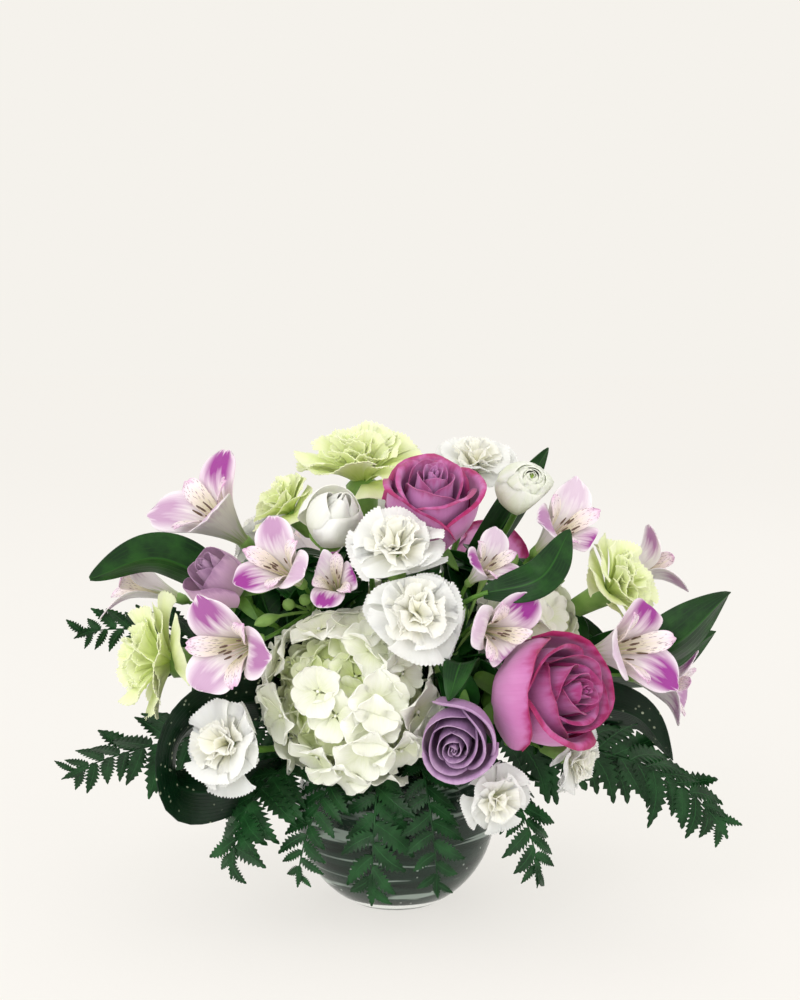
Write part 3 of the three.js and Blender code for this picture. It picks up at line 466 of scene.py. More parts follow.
def add(tree: bpy.types.NodeTree, kind: str, inputs: dict | None = None, **settings) -> bpy.types.Node:
    """Adds a node with its settings, values and links.

    Args:
        tree: the node tree.
        kind: the node's type.
        inputs: socket name or number to a value, a hex colour, or the node or socket that feeds it.
        **settings: the node's own properties; stops are a colour ramp's places and hex colours.

    Returns:
        The node.
    """
    node = tree.nodes.new(kind)
    for key, value in settings.items():
        if key == "stops":
            for _ in value[2:]:
                node.color_ramp.elements.new(0.5)
            for element, (place, colour) in zip(node.color_ramp.elements, value):
                element.position, element.color = place, linear(colour)
        else:
            setattr(node, key, value)
    for key, value in (inputs or {}).items():
        socket = node.inputs[key]
        if isinstance(value, bpy.types.Node):
            value = value.outputs[0]
        if isinstance(value, bpy.types.NodeSocket):
            tree.links.new(value, socket)
        else:
            socket.default_value = linear(value) if socket.type == "RGBA" else value
    return node


class Finish:
    """A finish: a Blender material that is made once, when it is first asked for."""

    name: str

    def material(self) -> bpy.types.Material:
        """The material of this finish's name, made if it isn't there yet."""
        found = bpy.data.materials.get(self.name)
        if found:
            return found
        made = bpy.data.materials.new(self.name)
        made.use_nodes = True
        tree = made.node_tree
        tree.nodes.clear()
        shader = add(tree, "ShaderNodeBsdfPrincipled", self.dress(tree))
        add(tree, "ShaderNodeOutputMaterial", {"Surface": shader})
        return made

    def dress(self, tree: bpy.types.NodeTree) -> dict:
        """Adds the patterns and gives what feeds the shader.

        Args:
            tree: the material's node tree.

        Returns:
            What feeds each of the shader's inputs, by the input's name.
        """
        raise NotImplementedError


@dataclass(frozen=True)
class PetalFinish(Finish):
    """Fresh petal: soft, faintly see-through skin with fine veins that run from base to tip.

    The veins give the eye a fine stripe and the thin skin lets light into the folds.

    Args:
        name: the material's name.
        young: colours from base, 0, to rim, 1, of a petal of tone 0.
        old: the same for a petal of tone 1, such as the outermost of a rose.
        rim_side: how much a petal's sides count as rim.
        vein: the colour of the veins.
        veins: how strong they are.
        blotch: a patch's colour and where along the petal it starts and ends.
        flecks: the colour of short dark strokes, or none.
        roughness: how matt the skin is.
        glow: how much light the petal lets in.
    """

    name: str
    young: tuple[tuple[float, str], ...]
    old: tuple[tuple[float, str], ...]
    rim_side: float = 0.3
    vein: str = "d0c8c0"
    veins: float = 0.14
    blotch: tuple[str, float, float] | None = None
    flecks: str | None = None
    roughness: float = 0.5
    glow: float = 0.2

    def dress(self, tree: bpy.types.NodeTree) -> dict:
        """Adds the patterns and gives what feeds the shader."""
        along, across, tone = (
            add(tree, OWN, attribute_name=key).outputs["Fac"] for key in ("along", "across", "tone")
        )
        skin = add(tree, XYZ, {0: across, 1: along, 2: tone})
        spread_out = add(tree, VECTOR, {0: skin, 1: (4.8, 1.9, 59.0)}, operation="MULTIPLY")
        cloud = add(tree, NOISE, {"Vector": spread_out, "Scale": 1.0, "Detail": 3.0})
        drift = add(tree, RANGE, {"Value": cloud, 1: 0.3, 2: 0.7, 3: -0.11, 4: 0.11})
        flank = add(tree, MATH, {0: across, 1: across}, operation="MULTIPLY")
        side = add(tree, MATH, {0: flank, 1: 1.5}, operation="POWER")
        reach = add(tree, MATH, {0: along, 1: drift}, operation="ADD")
        rimward = add(tree, MATH, {0: side, 1: self.rim_side, 2: reach}, operation="MULTIPLY_ADD")
        young = add(tree, RAMP, {0: rimward}, stops=self.young)
        old = add(tree, RAMP, {0: rimward}, stops=self.old)
        colour = add(tree, MIX, {0: tone, 6: young, 7: old}, data_type="RGBA").outputs[2]
        drawn_out = add(tree, VECTOR, {0: skin, 1: (26.0, 1.5, 53.0)}, operation="MULTIPLY")
        strand = add(tree, NOISE, {"Vector": drawn_out, "Scale": 1.0, "Detail": 2.0})
        dark = add(tree, RANGE, {"Value": strand, 1: 0.45, 2: 0.75, 3: 0.0, 4: self.veins})
        veined = {0: dark, 6: colour, 7: self.vein}
        colour = add(tree, MIX, veined, data_type="RGBA", blend_type="MULTIPLY").outputs[2]
        if self.blotch:
            patch, low, high = self.blotch
            inside = add(tree, RANGE, {"Value": reach, 1: low, 2: low + 0.24, 3: 0.0, 4: 1.0})
            outside = add(tree, RANGE, {"Value": reach, 1: high - 0.12, 2: high, 3: 1.0, 4: 0.1})
            middle = add(tree, RANGE, {"Value": flank, 1: 0.2, 2: 0.8, 3: 1.0, 4: 0.1})
            deep = add(tree, RANGE, {"Value": tone, 1: 0.1, 2: 0.6, 3: 0.4, 4: 1.0})
            both = add(tree, MATH, {0: inside, 1: outside}, operation="MULTIPLY")
            inner = add(tree, MATH, {0: both, 1: middle}, operation="MULTIPLY")
            spot = add(tree, MATH, {0: inner, 1: deep}, operation="MULTIPLY")
            colour = add(tree, MIX, {0: spot, 6: colour, 7: patch}, data_type="RGBA").outputs[2]
        if self.flecks:
            stretched = add(tree, VECTOR, {0: skin, 1: (11.0, 9.0, 19.0)}, operation="MULTIPLY")
            cells = add(tree, CELLS, {"Vector": stretched, "Scale": 1.0})
            near = add(tree, RANGE, {"Value": cells, 1: 0.2, 2: 0.28, 3: 1.0, 4: 0.0})
            upper = add(tree, RANGE, {"Value": along, 1: 0.25, 2: 0.4, 3: 0.0, 4: 0.85})
            stroke = add(tree, MATH, {0: near, 1: upper}, operation="MULTIPLY")
            flecked = {0: stroke, 6: colour, 7: self.flecks}
            colour = add(tree, MIX, flecked, data_type="RGBA").outputs[2]
        bump = add(tree, BUMP, {"Strength": 0.3, "Distance": 0.0005, "Height": strand})
        return {
            "Base Color": colour, "Normal": bump, "Roughness": self.roughness, "IOR": 1.4,
            "Sheen Weight": 0.15, "Sheen Roughness": 0.4, "Subsurface Weight": self.glow,
            "Subsurface Radius": (1.0, 0.96, 0.9), "Subsurface Scale": 0.003,
        }


@dataclass(frozen=True)
class LeafFinish(Finish):
    """Waxy leaf: satin skin that holds a soft highlight, a paler midrib and side veins.

    Args:
        name: the material's name.
        dark: the green between the veins.
        light: the green of the veins and the patches.
        veins: how many side veins a leaf has.
        parallel: how many veins run along each half of it.
        spots: the colour of scattered small spots, or none.
        roughness: how matt the skin is.
    """

    name: str
    dark: str
    light: str
    veins: float = 0.0
    parallel: float = 0.0
    spots: str | None = None
    roughness: float = 0.36

    def dress(self, tree: bpy.types.NodeTree) -> dict:
        """Adds the patterns and gives what feeds the shader."""
        along, across, tone = (
            add(tree, OWN, attribute_name=key).outputs["Fac"] for key in ("along", "across", "tone")
        )
        half = add(tree, MATH, {0: across}, operation="ABSOLUTE")
        stepped = add(tree, MATH, {0: along, 1: self.veins}, operation="MULTIPLY")
        slope = self.parallel - 0.16 * self.veins
        phase = add(tree, MATH, {0: half, 1: slope, 2: stepped}, operation="MULTIPLY_ADD")
        turns = add(tree, MATH, {0: phase, 1: 2 * math.pi}, operation="MULTIPLY")
        wave = add(tree, MATH, {0: turns}, operation="SINE")
        line = add(tree, RANGE, {"Value": wave, 1: 0.6, 2: 1.0, 3: 0.0, 4: 0.26})
        rib = add(tree, RANGE, {"Value": half, 1: 0.02, 2: 0.09, 3: 0.9, 4: 0.0})
        raised = add(tree, MATH, {0: line, 1: rib}, operation="MAXIMUM")
        where = add(tree, "ShaderNodeTexCoord").outputs["Object"]
        # Patches about 12 mm wide. On the fern their light green is partly a painted highlight.
        cloud = add(tree, NOISE, {"Vector": where, "Scale": 80.0, "Detail": 4.0})
        patch = add(tree, RANGE, {"Value": cloud, 1: 0.4, 2: 0.7, 3: 0.0, 4: 0.7})
        pale = add(tree, MATH, {0: raised, 1: patch}, operation="MAXIMUM")
        greens = {0: pale, 6: self.dark, 7: self.light}
        colour = add(tree, MIX, greens, data_type="RGBA").outputs[2]
        shadow = add(tree, MATH, {0: tone, 1: 0.6}, operation="MULTIPLY")
        older = {0: shadow, 6: colour, 7: "93a58c"}
        colour = add(tree, MIX, older, data_type="RGBA", blend_type="MULTIPLY").outputs[2]
        if self.spots:
            # Spots about 1.5 mm wide, a few to a square centimetre and gone in patches.
            cells = add(tree, CELLS, {"Vector": where, "Scale": 190.0, "Randomness": 1.0})
            near = add(tree, RANGE, {"Value": cells, 1: 0.1, 2: 0.2, 3: 0.75, 4: 0.0})
            some = add(tree, RANGE, {"Value": cloud, 1: 0.42, 2: 0.52, 3: 0.0, 4: 1.0})
            seen = add(tree, MATH, {0: near, 1: some}, operation="MULTIPLY")
            colour = add(tree, MIX, {0: seen, 6: colour, 7: self.spots}, data_type="RGBA").outputs[2]
        height = add(tree, MATH, {0: cloud, 1: 0.4, 2: raised}, operation="MULTIPLY_ADD")
        bump = add(tree, BUMP, {"Strength": 0.35, "Distance": 0.0007, "Height": height})
        return {
            "Base Color": colour, "Normal": bump, "Roughness": self.roughness, "IOR": 1.42,
            "Specular IOR Level": 0.3,
        }


@dataclass(frozen=True)
class StalkFinish(Finish):
    """Stalk and sepal: smooth green skin, fine grooves along it and a duller bloom in patches."""

    name: str
    dark: str
    light: str

    def dress(self, tree: bpy.types.NodeTree) -> dict:
        """Adds the patterns and gives what feeds the shader."""
        along, across = (add(tree, OWN, attribute_name=key).outputs["Fac"] for key in ("along", "across"))
        where = add(tree, "ShaderNodeTexCoord").outputs["Object"]
        # Patches about 8 mm long.
        cloud = add(tree, NOISE, {"Vector": where, "Scale": 120.0, "Detail": 3.0})
        greens = {0: cloud, 6: self.dark, 7: self.light}
        colour = add(tree, MIX, greens, data_type="RGBA").outputs[2]
        skin = add(tree, XYZ, {0: across, 1: along})
        drawn_out = add(tree, VECTOR, {0: skin, 1: (9.0, 2.0, 1.0)}, operation="MULTIPLY")
        groove = add(tree, NOISE, {"Vector": drawn_out, "Scale": 1.0, "Detail": 1.0})
        bump = add(tree, BUMP, {"Strength": 0.3, "Distance": 0.0004, "Height": groove})
        return {"Base Color": colour, "Normal": bump, "Roughness": 0.5, "IOR": 1.45}


@dataclass(frozen=True)
class StamenFinish(Finish):
    """Stamen: a pale thread that ends in a dark, dusty anther."""

    name: str
    thread: str
    anther: str

    def dress(self, tree: bpy.types.NodeTree) -> dict:
        """Adds the patterns and gives what feeds the shader."""
        along = add(tree, OWN, attribute_name="along").outputs["Fac"]
        stops = [(0.0, self.thread), (0.8, self.thread), (0.84, self.anther)]
        colour = add(tree, RAMP, {0: along}, stops=stops)
        where = add(tree, "ShaderNodeTexCoord").outputs["Object"]
        # Pollen grains are drawn 0.4 mm wide, far coarser than they are, to show at all.
        dust = add(tree, NOISE, {"Vector": where, "Scale": 2500.0, "Detail": 1.0})
        bump = add(tree, BUMP, {"Strength": 0.3, "Distance": 0.0002, "Height": dust})
        return {"Base Color": colour, "Normal": bump, "Roughness": 0.7}


@dataclass(frozen=True)
class FoamFinish(Finish):
    """Wet floral foam: matt, darkened by water, with an open crumbly cell of about 1 mm."""

    name: str = "wet_floral_foam"
    wet: str = "1d3a1f"
    dry: str = "3c6438"

    def dress(self, tree: bpy.types.NodeTree) -> dict:
        """Adds the patterns and gives what feeds the shader."""
        where = add(tree, "ShaderNodeTexCoord").outputs["Object"]
        crumb = add(tree, CELLS, {"Vector": where, "Scale": 900.0})
        cloud = add(tree, NOISE, {"Vector": where, "Scale": 60.0, "Detail": 5.0})
        greens = {0: cloud, 6: self.wet, 7: self.dry}
        colour = add(tree, MIX, greens, data_type="RGBA").outputs[2]
        bump = add(tree, BUMP, {"Strength": 0.8, "Distance": 0.001, "Height": crumb})
        return {"Base Color": colour, "Normal": bump, "Roughness": 0.9}


@dataclass(frozen=True)
class GlassFinish(Finish):
    """Blown soda-lime glass: clear, faintly green, with slow waves that bend its highlights."""

    name: str = "blown_clear_glass"
    tint: str = "eef5f1"

    def dress(self, tree: bpy.types.NodeTree) -> dict:
        """Adds the patterns and gives what feeds the shader."""
        where = add(tree, "ShaderNodeTexCoord").outputs["Object"]
        # Waves about 40 mm long.
        wave = add(tree, NOISE, {"Vector": where, "Scale": 25.0, "Detail": 0.0})
        bump = add(tree, BUMP, {"Strength": 0.15, "Distance": 0.002, "Height": wave})
        # Bends less than bare glass, because the wet leaf lies on it with no air between.
        return {
            "Normal": bump, "Base Color": self.tint, "Roughness": 0.015, "IOR": 1.33,
            "Transmission Weight": 1.0,
        }


@dataclass(frozen=True)
class LiningFinish(Finish):
    """Wet aspidistra leaf behind glass: dark, with pale streaks that sweep round the bowl, part the leaf's
    own streaks and part painted reflections of the glass.
    """

    name: str = "wet_spotted_leaf"
    dark: str = "15241b"
    middle: str = "31463a"
    streak_and_reflection: str = "c3cfc7"
    speck: str = "dfe6dc"

    def dress(self, tree: bpy.types.NodeTree) -> dict:
        """Adds the patterns and gives what feeds the shader."""
        where = add(tree, "ShaderNodeTexCoord").outputs["Object"]
        # Streaks about 5 mm high and several times as long, tipped to one side: part the leaf's own streaks,
        # part painted reflections of the glass.
        laid = {"Vector": where, "Rotation": (0.22, -0.3, 0.0), "Scale": (16.0, 16.0, 150.0)}
        tipped = add(tree, "ShaderNodeMapping", laid)
        bands = add(tree, NOISE, {"Vector": tipped, "Scale": 1.0, "Detail": 2.0, "Distortion": 0.5})
        stops = [(0.3, self.dark), (0.52, self.middle), (0.59, self.middle), (0.66, self.streak_and_reflection)]
        colour = add(tree, RAMP, {0: bands}, stops=stops)
        # Specks about 1.5 mm wide.
        cells = add(tree, CELLS, {"Vector": where, "Scale": 130.0})
        near = add(tree, RANGE, {"Value": cells, 1: 0.07, 2: 0.12, 3: 0.9, 4: 0.0})
        specked = {0: near, 6: colour, 7: self.speck}
        colour = add(tree, MIX, specked, data_type="RGBA").outputs[2]
        bump = add(tree, BUMP, {"Strength": 0.5, "Distance": 0.0015, "Height": bands})
        return {"Base Color": colour, "Normal": bump, "Roughness": 0.5, "Specular IOR Level": 0.15}


@dataclass(frozen=True)
class BackdropFinish(Finish):
    """Plain pale studio paper: matt, lit from behind, its grain too faint to draw the eye."""

    name: str = "pale_studio_paper"
    colour: str = "8a8989"
    grain: str = "888787"
    light: str = "f5f2ec"
    glow: float = 0.75

    def dress(self, tree: bpy.types.NodeTree) -> dict:
        """Adds the patterns and gives what feeds the shader."""
        where = add(tree, "ShaderNodeTexCoord").outputs["Object"]
        grain = add(tree, NOISE, {"Vector": where, "Scale": 400.0})
        papers = {0: grain, 6: self.colour, 7: self.grain}
        colour = add(tree, MIX, papers, data_type="RGBA").outputs[2]
        # With what it throws back, the glow adds up to the light all round, so that the view of the
        # photograph has no horizon.
        return {
            "Base Color": colour, "Roughness": 0.9, "Specular IOR Level": 0.0,
            "Emission Color": self.light, "Emission Strength": self.glow,
        }


STALK = StalkFinish("green_flower_stalk", "2f5a1c", "6d9e3a")
CALYX = StalkFinish("green_calyx", "5c8a3a", "9cc06a")
STAMEN = StamenFinish("alstroemeria_stamen", "e9d9d4", "6b5648")
EYE = StalkFinish("green_flower_eye", "6f9a2e", "b9d06a")
SPRAY_LEAF = LeafFinish("alstroemeria_leaf", "0f3a14", "2c6a22", parallel=3.0)
MOPHEAD_LEAF = LeafFinish("hydrangea_leaf", "103c16", "2f6c26", veins=7.0)
# Its light green, in the veins, the midrib and the pale patches, is partly the frond's own paler green and
# partly a painted highlight.
FERN = LeafFinish("leatherleaf_fern", "123619", "2f6636", veins=9.0, roughness=0.36)
BROAD_LEAF = LeafFinish("broad_green_leaf", "0e3211", "285c1c", parallel=5.0)
ASPIDISTRA = LeafFinish(
    "spotted_aspidistra_leaf", "06200f", "0e3018", parallel=9.0, spots="c3cdb0", roughness=0.3
)

ROSE_PINK = PetalFinish(
    "rose_petal_magenta_rim",
    ((0.0, "a45a96"), (0.6, "b06ea8"), (0.88, "bd7db4"), (1.0, "b24a90")),
    # The outer petals' lighter lilac stop at 0.45 is a painted highlight laid over their own pink.
    ((0.0, "c0639f"), (0.45, "d794c8"), (0.8, "cb78b4"), (0.95, "b22f76"), (1.04, "981650")),
    rim_side=0.1, vein="c98ab8",
)
ROSE_LILAC = PetalFinish(
    "rose_petal_lilac",
    ((0.0, "b987bb"), (0.5, "bd8cc4"), (0.9, "c795ca"), (1.0, "bf7cb6")),
    ((0.0, "c878ae"), (0.45, "cc8cc0"), (0.82, "c47ab2"), (0.96, "b53a80"), (1.05, "a3205f")),
    rim_side=0.1, vein="c79ac6",
)
ROSE_LAVENDER = PetalFinish(
    "rose_petal_dusty_lavender",
    # The lighter rims are partly the petals' own paler edges and partly a painted highlight.
    ((0.0, "6f4876"), (0.6, "7e5488"), (0.88, "9d78a6"), (1.0, "bb9cc0")),
    ((0.0, "b98f9e"), (0.4, "a27aa4"), (0.85, "a680ac"), (1.0, "bb98bf")),
    rim_side=0.1, vein="96749a",
)
ROSE_MAUVE = PetalFinish(
    "rose_petal_mauve",
    ((0.0, "ccb0c0"), (0.5, "bf9aba"), (0.9, "bb98ba"), (1.0, "a884a8")),
    ((0.0, "d8c2c8"), (0.4, "c8a4bc"), (0.85, "c39cbc"), (1.0, "a47ca0")),
    rim_side=0.12, vein="b08eaa",
)
WHITE_RUFFLE = PetalFinish(
    "carnation_petal_white",
    ((0.0, "eef2b4"), (0.35, "f8f7cc"), (0.65, "fcfae0"), (1.0, "fffef2")),
    ((0.0, "eef2cc"), (0.35, "f9faf4"), (0.65, "fbfdfd"), (1.0, "fdffff")),
    vein="eceeea", veins=0.1, roughness=0.6, glow=0.7,
)
GREEN_RUFFLE = PetalFinish(
    "carnation_petal_lime",
    ((0.0, "cbe266"), (0.35, "e6f59a"), (0.7, "f1fab8"), (1.0, "f7fdd2")),
    ((0.0, "c0da58"), (0.35, "def08a"), (0.7, "ebf7ac"), (1.0, "f4fbc8")),
    vein="e0ecb0", veins=0.15, roughness=0.6, glow=0.4,
)
MOPHEAD = PetalFinish(
    "hydrangea_petal_ivory",
    ((0.0, "dfe9a8"), (0.2, "f5f7e2"), (0.6, "fdfdf6"), (1.0, "fffffb")),
    ((0.0, "c6dc6a"), (0.3, "dcec94"), (0.65, "eaf5b8"), (1.0, "f4fad4")),
    rim_side=0.1, vein="e6ecce", veins=0.25, roughness=0.55, glow=0.4,
)
BALL = PetalFinish(
    "ranunculus_petal_green_white",
    ((0.0, "b4d070"), (0.35, "dcebb2"), (0.75, "edf5d6"), (1.0, "f8fbee")),
    ((0.0, "abc866"), (0.35, "d9e8b0"), (0.75, "eaf3d0"), (1.0, "f7faea")),
    vein="dde6c4", veins=0.15, roughness=0.42, glow=0.5,
)
BUD = PetalFinish(
    "bud_petal_white",
    ((0.0, "cfe096"), (0.25, "f0f4da"), (0.7, "fafbf0"), (1.0, "fdfdf8")),
    ((0.0, "c6da88"), (0.25, "e9f0cc"), (0.7, "f6f8e8"), (1.0, "fbfbf4")),
    vein="e6eadc", veins=0.12, roughness=0.4, glow=0.5,
)
TEPAL = PetalFinish(
    "alstroemeria_tepal_lilac",
    ((0.0, "b4c684"), (0.2, "f2ecea"), (0.6, "f6eff5"), (0.96, "f7f0f6"), (1.0, "f2ecf0")),
    ((0.0, "aabf78"), (0.2, "efe2ea"), (0.6, "f0dfec"), (0.96, "f2e4f0"), (1.0, "e6dade")),
    rim_side=0.0, vein="d8b4d4", veins=0.2, blotch=("962f90", 0.4, 1.0), roughness=0.42, glow=0.3,
)
INNER_TEPAL = PetalFinish(
    "alstroemeria_tepal_flecked",
    ((0.0, "d8dd98"), (0.4, "f7f1da"), (0.75, "f6eaf0"), (1.0, "e6c0dc")),
    ((0.0, "ced484"), (0.4, "f1e6d0"), (0.75, "f0dae8"), (1.0, "dba4cf")),
    rim_side=0.0, vein="e0c4d4", veins=0.25, flecks="5a2148", roughness=0.42, glow=0.3,
)


# ---------------------------------------------------------------- growth by Geometry Nodes
class Growth:
    """A Geometry Nodes tree that sets copies of some small meshes, then makes them one mesh."""

    sizes: ClassVar[dict[str, str]] = {}

    def __init__(self, name: str, seeds: list[Shape], finish: Finish) -> None:
        """Builds the tree.

        Args:
            name: the tree's name.
            seeds: the small shapes that it copies, one after another.
            finish: the finish of the result.
        """
        self.tree = bpy.data.node_groups.new(name, "GeometryNodeTree")
        self.sockets = {
            key: self.tree.interface.new_socket(key, in_out="INPUT", socket_type=kind).identifier
            for key, kind in self.sizes.items()
        }
        self.tree.interface.new_socket("Grown", in_out="OUTPUT", socket_type="NodeSocketGeometry")
        joined = add(self.tree, "GeometryNodeJoinGeometry")
        for i, seed in enumerate(seeds):
            # Such an object is in no collection, so it isn't shown.
            source = bpy.data.objects.new(f"{name}_{i}", seed.mesh(f"{name}_{i}"))
            copied = add(self.tree, "GeometryNodeObjectInfo", {"Object": source, "As Instance": True})
            self.tree.links.new(copied.outputs["Geometry"], joined.inputs[0])
        laid = self.lay_out(add(self.tree, "NodeGroupInput").outputs, joined)
        shade = add(self.tree, "FunctionNodeRandomValue", {"Seed": 5}).outputs[1]
        kept = {"Geometry": laid, "Name": "tone", "Value": shade}
        toned = add(self.tree, "GeometryNodeStoreNamedAttribute", kept, domain="INSTANCE")
        grown = add(self.tree, "GeometryNodeRealizeInstances", {0: toned})
        dressed = {"Geometry": grown, "Material": finish.material()}
        add(self.tree, "NodeGroupOutput", {0: add(self.tree, "GeometryNodeSetMaterial", dressed)})

    def lay_out(self, sizes: bpy.types.NodeOutputs, seeds: bpy.types.Node) -> bpy.types.Node:
        """Adds the nodes that place the copies.

        Args:
            sizes: the tree's inputs.
            seeds: the node that gives the shapes to copy.

        Returns:
            The node that gives the instances.
        """
        raise NotImplementedError

    def grow(self, finish: int, **sizes: float) -> Shape:
        """Evaluates the tree once and reads the plain mesh that it gives.

        Args:
            finish: the material index for the polygons.
            **sizes: a value for each named input.

        Returns:
            The grown shape.
        """
        carrier = bpy.data.objects.new("carrier", bpy.data.meshes.new("carrier"))
        bpy.context.scene.collection.objects.link(carrier)
        modifier = carrier.modifiers.new("growth", "NODES")
        modifier.node_group = self.tree
        for key, value in sizes.items():
            modifier[self.sockets[key]] = value
        graph = bpy.context.evaluated_depsgraph_get()
        mesh = bpy.data.meshes.new_from_object(carrier.evaluated_get(graph))
        shape = Shape.read(mesh, finish)
        bpy.data.objects.remove(carrier)
        bpy.data.meshes.remove(mesh)
        return shape


class SpiralGrowth(Growth):
    """Copies on a golden spiral that fans out from straight up to the side."""

    sizes: ClassVar[dict[str, str]] = {
        "Count": "NodeSocketInt", "FirstTilt": "NodeSocketFloat", "LastTilt": "NodeSocketFloat",
        "Crowding": "NodeSocketFloat", "Shell": "NodeSocketFloat", "Depth": "NodeSocketFloat",
        "FirstSize": "NodeSocketFloat", "LastSize": "NodeSocketFloat", "Smallest": "NodeSocketFloat",
        "Wobble": "NodeSocketFloat", "Spin": "NodeSocketFloat", "Seed": "NodeSocketInt",
    }

    def lay_out(self, sizes: bpy.types.NodeOutputs, seeds: bpy.types.Node) -> bpy.types.Node:
        """Adds the nodes that place the copies.

        Args:
            sizes: the tree's inputs.
            seeds: the node that gives the shapes to copy.

        Returns:
            The node that gives the instances.
        """
        tree = self.tree
        index = add(tree, "GeometryNodeInputIndex")
        last = add(tree, MATH, {0: sizes["Count"], 1: 1.0}, operation="SUBTRACT")
        share = add(tree, MATH, {0: index, 1: last}, operation="DIVIDE")
        fanned = add(tree, MATH, {0: share, 1: sizes["Crowding"]}, operation="POWER")
        draw = {0: (-1.0, -1.0, -1.0), 1: (1.0, 1.0, 1.0), "Seed": sizes["Seed"]}
        drawn = add(tree, "FunctionNodeRandomValue", draw, data_type="FLOAT_VECTOR")
        chance = add(tree, "ShaderNodeSeparateXYZ", {0: drawn}).outputs
        fan = {"Value": fanned, "To Min": sizes["FirstTilt"], "To Max": sizes["LastTilt"]}
        even = add(tree, RANGE, fan, clamp=False)
        tilt = add(tree, MATH, {0: chance[0], 1: sizes["Wobble"], 2: even}, operation="MULTIPLY_ADD")
        turn = add(tree, MATH, {0: index, 1: GOLDEN}, operation="MULTIPLY")
        leaning = add(tree, XYZ, {1: tilt, 2: turn})
        above = {"Vector": add(tree, XYZ, {2: sizes["Shell"]}), "Rotation": leaning}
        around = add(tree, "ShaderNodeVectorRotate", above, rotation_type="EULER_XYZ")
        squat = add(tree, XYZ, {0: 1.0, 1: 1.0, 2: sizes["Depth"]})
        place = add(tree, VECTOR, {0: around, 1: squat}, operation="MULTIPLY")
        points = add(tree, "GeometryNodePoints", {"Count": sizes["Count"], "Position": place})
        size = {"Value": share, "To Min": sizes["FirstSize"], "To Max": sizes["LastSize"]}
        uneven = {"Value": chance[1], "From Min": -1.0, "To Min": sizes["Smallest"]}
        scale = {0: add(tree, RANGE, size), 1: add(tree, RANGE, uneven)}
        copies = {
            "Points": points, "Instance": seeds, "Pick Instance": True, "Instance Index": index,
            "Rotation": leaning, "Scale": add(tree, MATH, scale, operation="MULTIPLY"),
        }
        spin = add(tree, MATH, {0: chance[2], 1: sizes["Spin"]}, operation="MULTIPLY")
        spun = {
            "Instances": add(tree, "GeometryNodeInstanceOnPoints", copies),
            "Rotation": add(tree, XYZ, {2: spin}),
        }
        return add(tree, "GeometryNodeRotateInstances", spun)


class RibGrowth(Growth):
    """Copies in pairs along +X, each pair leaning towards the tip and as long as a bow allows."""

    sizes: ClassVar[dict[str, str]] = {
        "Pairs": "NodeSocketInt", "Length": "NodeSocketFloat", "Bare": "NodeSocketFloat",
        "Lean": "NodeSocketFloat", "Widest": "NodeSocketFloat", "BowStart": "NodeSocketFloat",
        "BowEnd": "NodeSocketFloat", "Smallest": "NodeSocketFloat", "Seed": "NodeSocketInt",
    }

    def lay_out(self, sizes: bpy.types.NodeOutputs, seeds: bpy.types.Node) -> bpy.types.Node:
        """Adds the nodes that place the copies.

        Args:
            sizes: the tree's inputs.
            seeds: the node that gives the shapes to copy.

        Returns:
            The node that gives the instances.
        """
        tree = self.tree
        index = add(tree, "GeometryNodeInputIndex")
        halved = add(tree, MATH, {0: index, 1: 2.0}, operation="DIVIDE")
        pair = add(tree, MATH, {0: halved}, operation="FLOOR")
        left = add(tree, MATH, {0: index, 1: 2.0}, operation="MODULO")
        step = add(tree, MATH, {0: left, 1: 0.45, 2: pair}, operation="MULTIPLY_ADD")
        share = add(tree, MATH, {0: step, 1: sizes["Pairs"]}, operation="DIVIDE")
        run = add(tree, RANGE, {"Value": share, "To Min": sizes["Bare"]})
        along = add(tree, MATH, {0: run, 1: sizes["Length"]}, operation="MULTIPLY")
        both = add(tree, MATH, {0: sizes["Pairs"], 1: 2.0}, operation="MULTIPLY")
        rib = {"Count": both, "Position": add(tree, XYZ, {0: along})}
        draw = {0: (-1.0, -1.0, -1.0), 1: (1.0, 1.0, 1.0), "Seed": sizes["Seed"]}
        drawn = add(tree, "FunctionNodeRandomValue", draw, data_type="FLOAT_VECTOR")
        chance = add(tree, "ShaderNodeSeparateXYZ", {0: drawn}).outputs
        bow = {"Value": share, "To Min": sizes["BowStart"], "To Max": sizes["BowEnd"]}
        turns = add(tree, MATH, {0: add(tree, RANGE, bow), 1: math.pi}, operation="MULTIPLY")
        swell = add(tree, MATH, {0: turns}, operation="SINE")
        full = add(tree, MATH, {0: swell, 1: sizes["Widest"]}, operation="MULTIPLY")
        uneven = {"Value": chance[0], "From Min": -1.0, "To Min": sizes["Smallest"]}
        hand = add(tree, MATH, {0: left, 1: -2.0, 2: 1.0}, operation="MULTIPLY_ADD")
        lean = add(tree, MATH, {0: chance[1], 1: 0.16, 2: sizes["Lean"]}, operation="MULTIPLY_ADD")
        turn = add(tree, MATH, {0: hand, 1: lean}, operation="MULTIPLY")
        lift = add(tree, MATH, {0: chance[2], 1: 0.3}, operation="MULTIPLY")
        copies = {
            "Points": add(tree, "GeometryNodePoints", rib), "Instance": seeds, "Pick Instance": True,
            "Instance Index": pair, "Rotation": add(tree, XYZ, {1: lift, 2: turn}),
            "Scale": add(tree, MATH, {0: full, 1: add(tree, RANGE, uneven)}, operation="MULTIPLY"),
        }
        return add(tree, "GeometryNodeInstanceOnPoints", copies)


# ---------------------------------------------------------------- placing
def facing(turn: float, tilt: float) -> np.ndarray:
    """The unit vector turned from the front towards +X and tilted above level, in degrees."""
    a, e = math.radians(turn), math.radians(tilt)
    return np.array([math.sin(a) * math.cos(e), -math.cos(a) * math.cos(e), math.sin(e)])


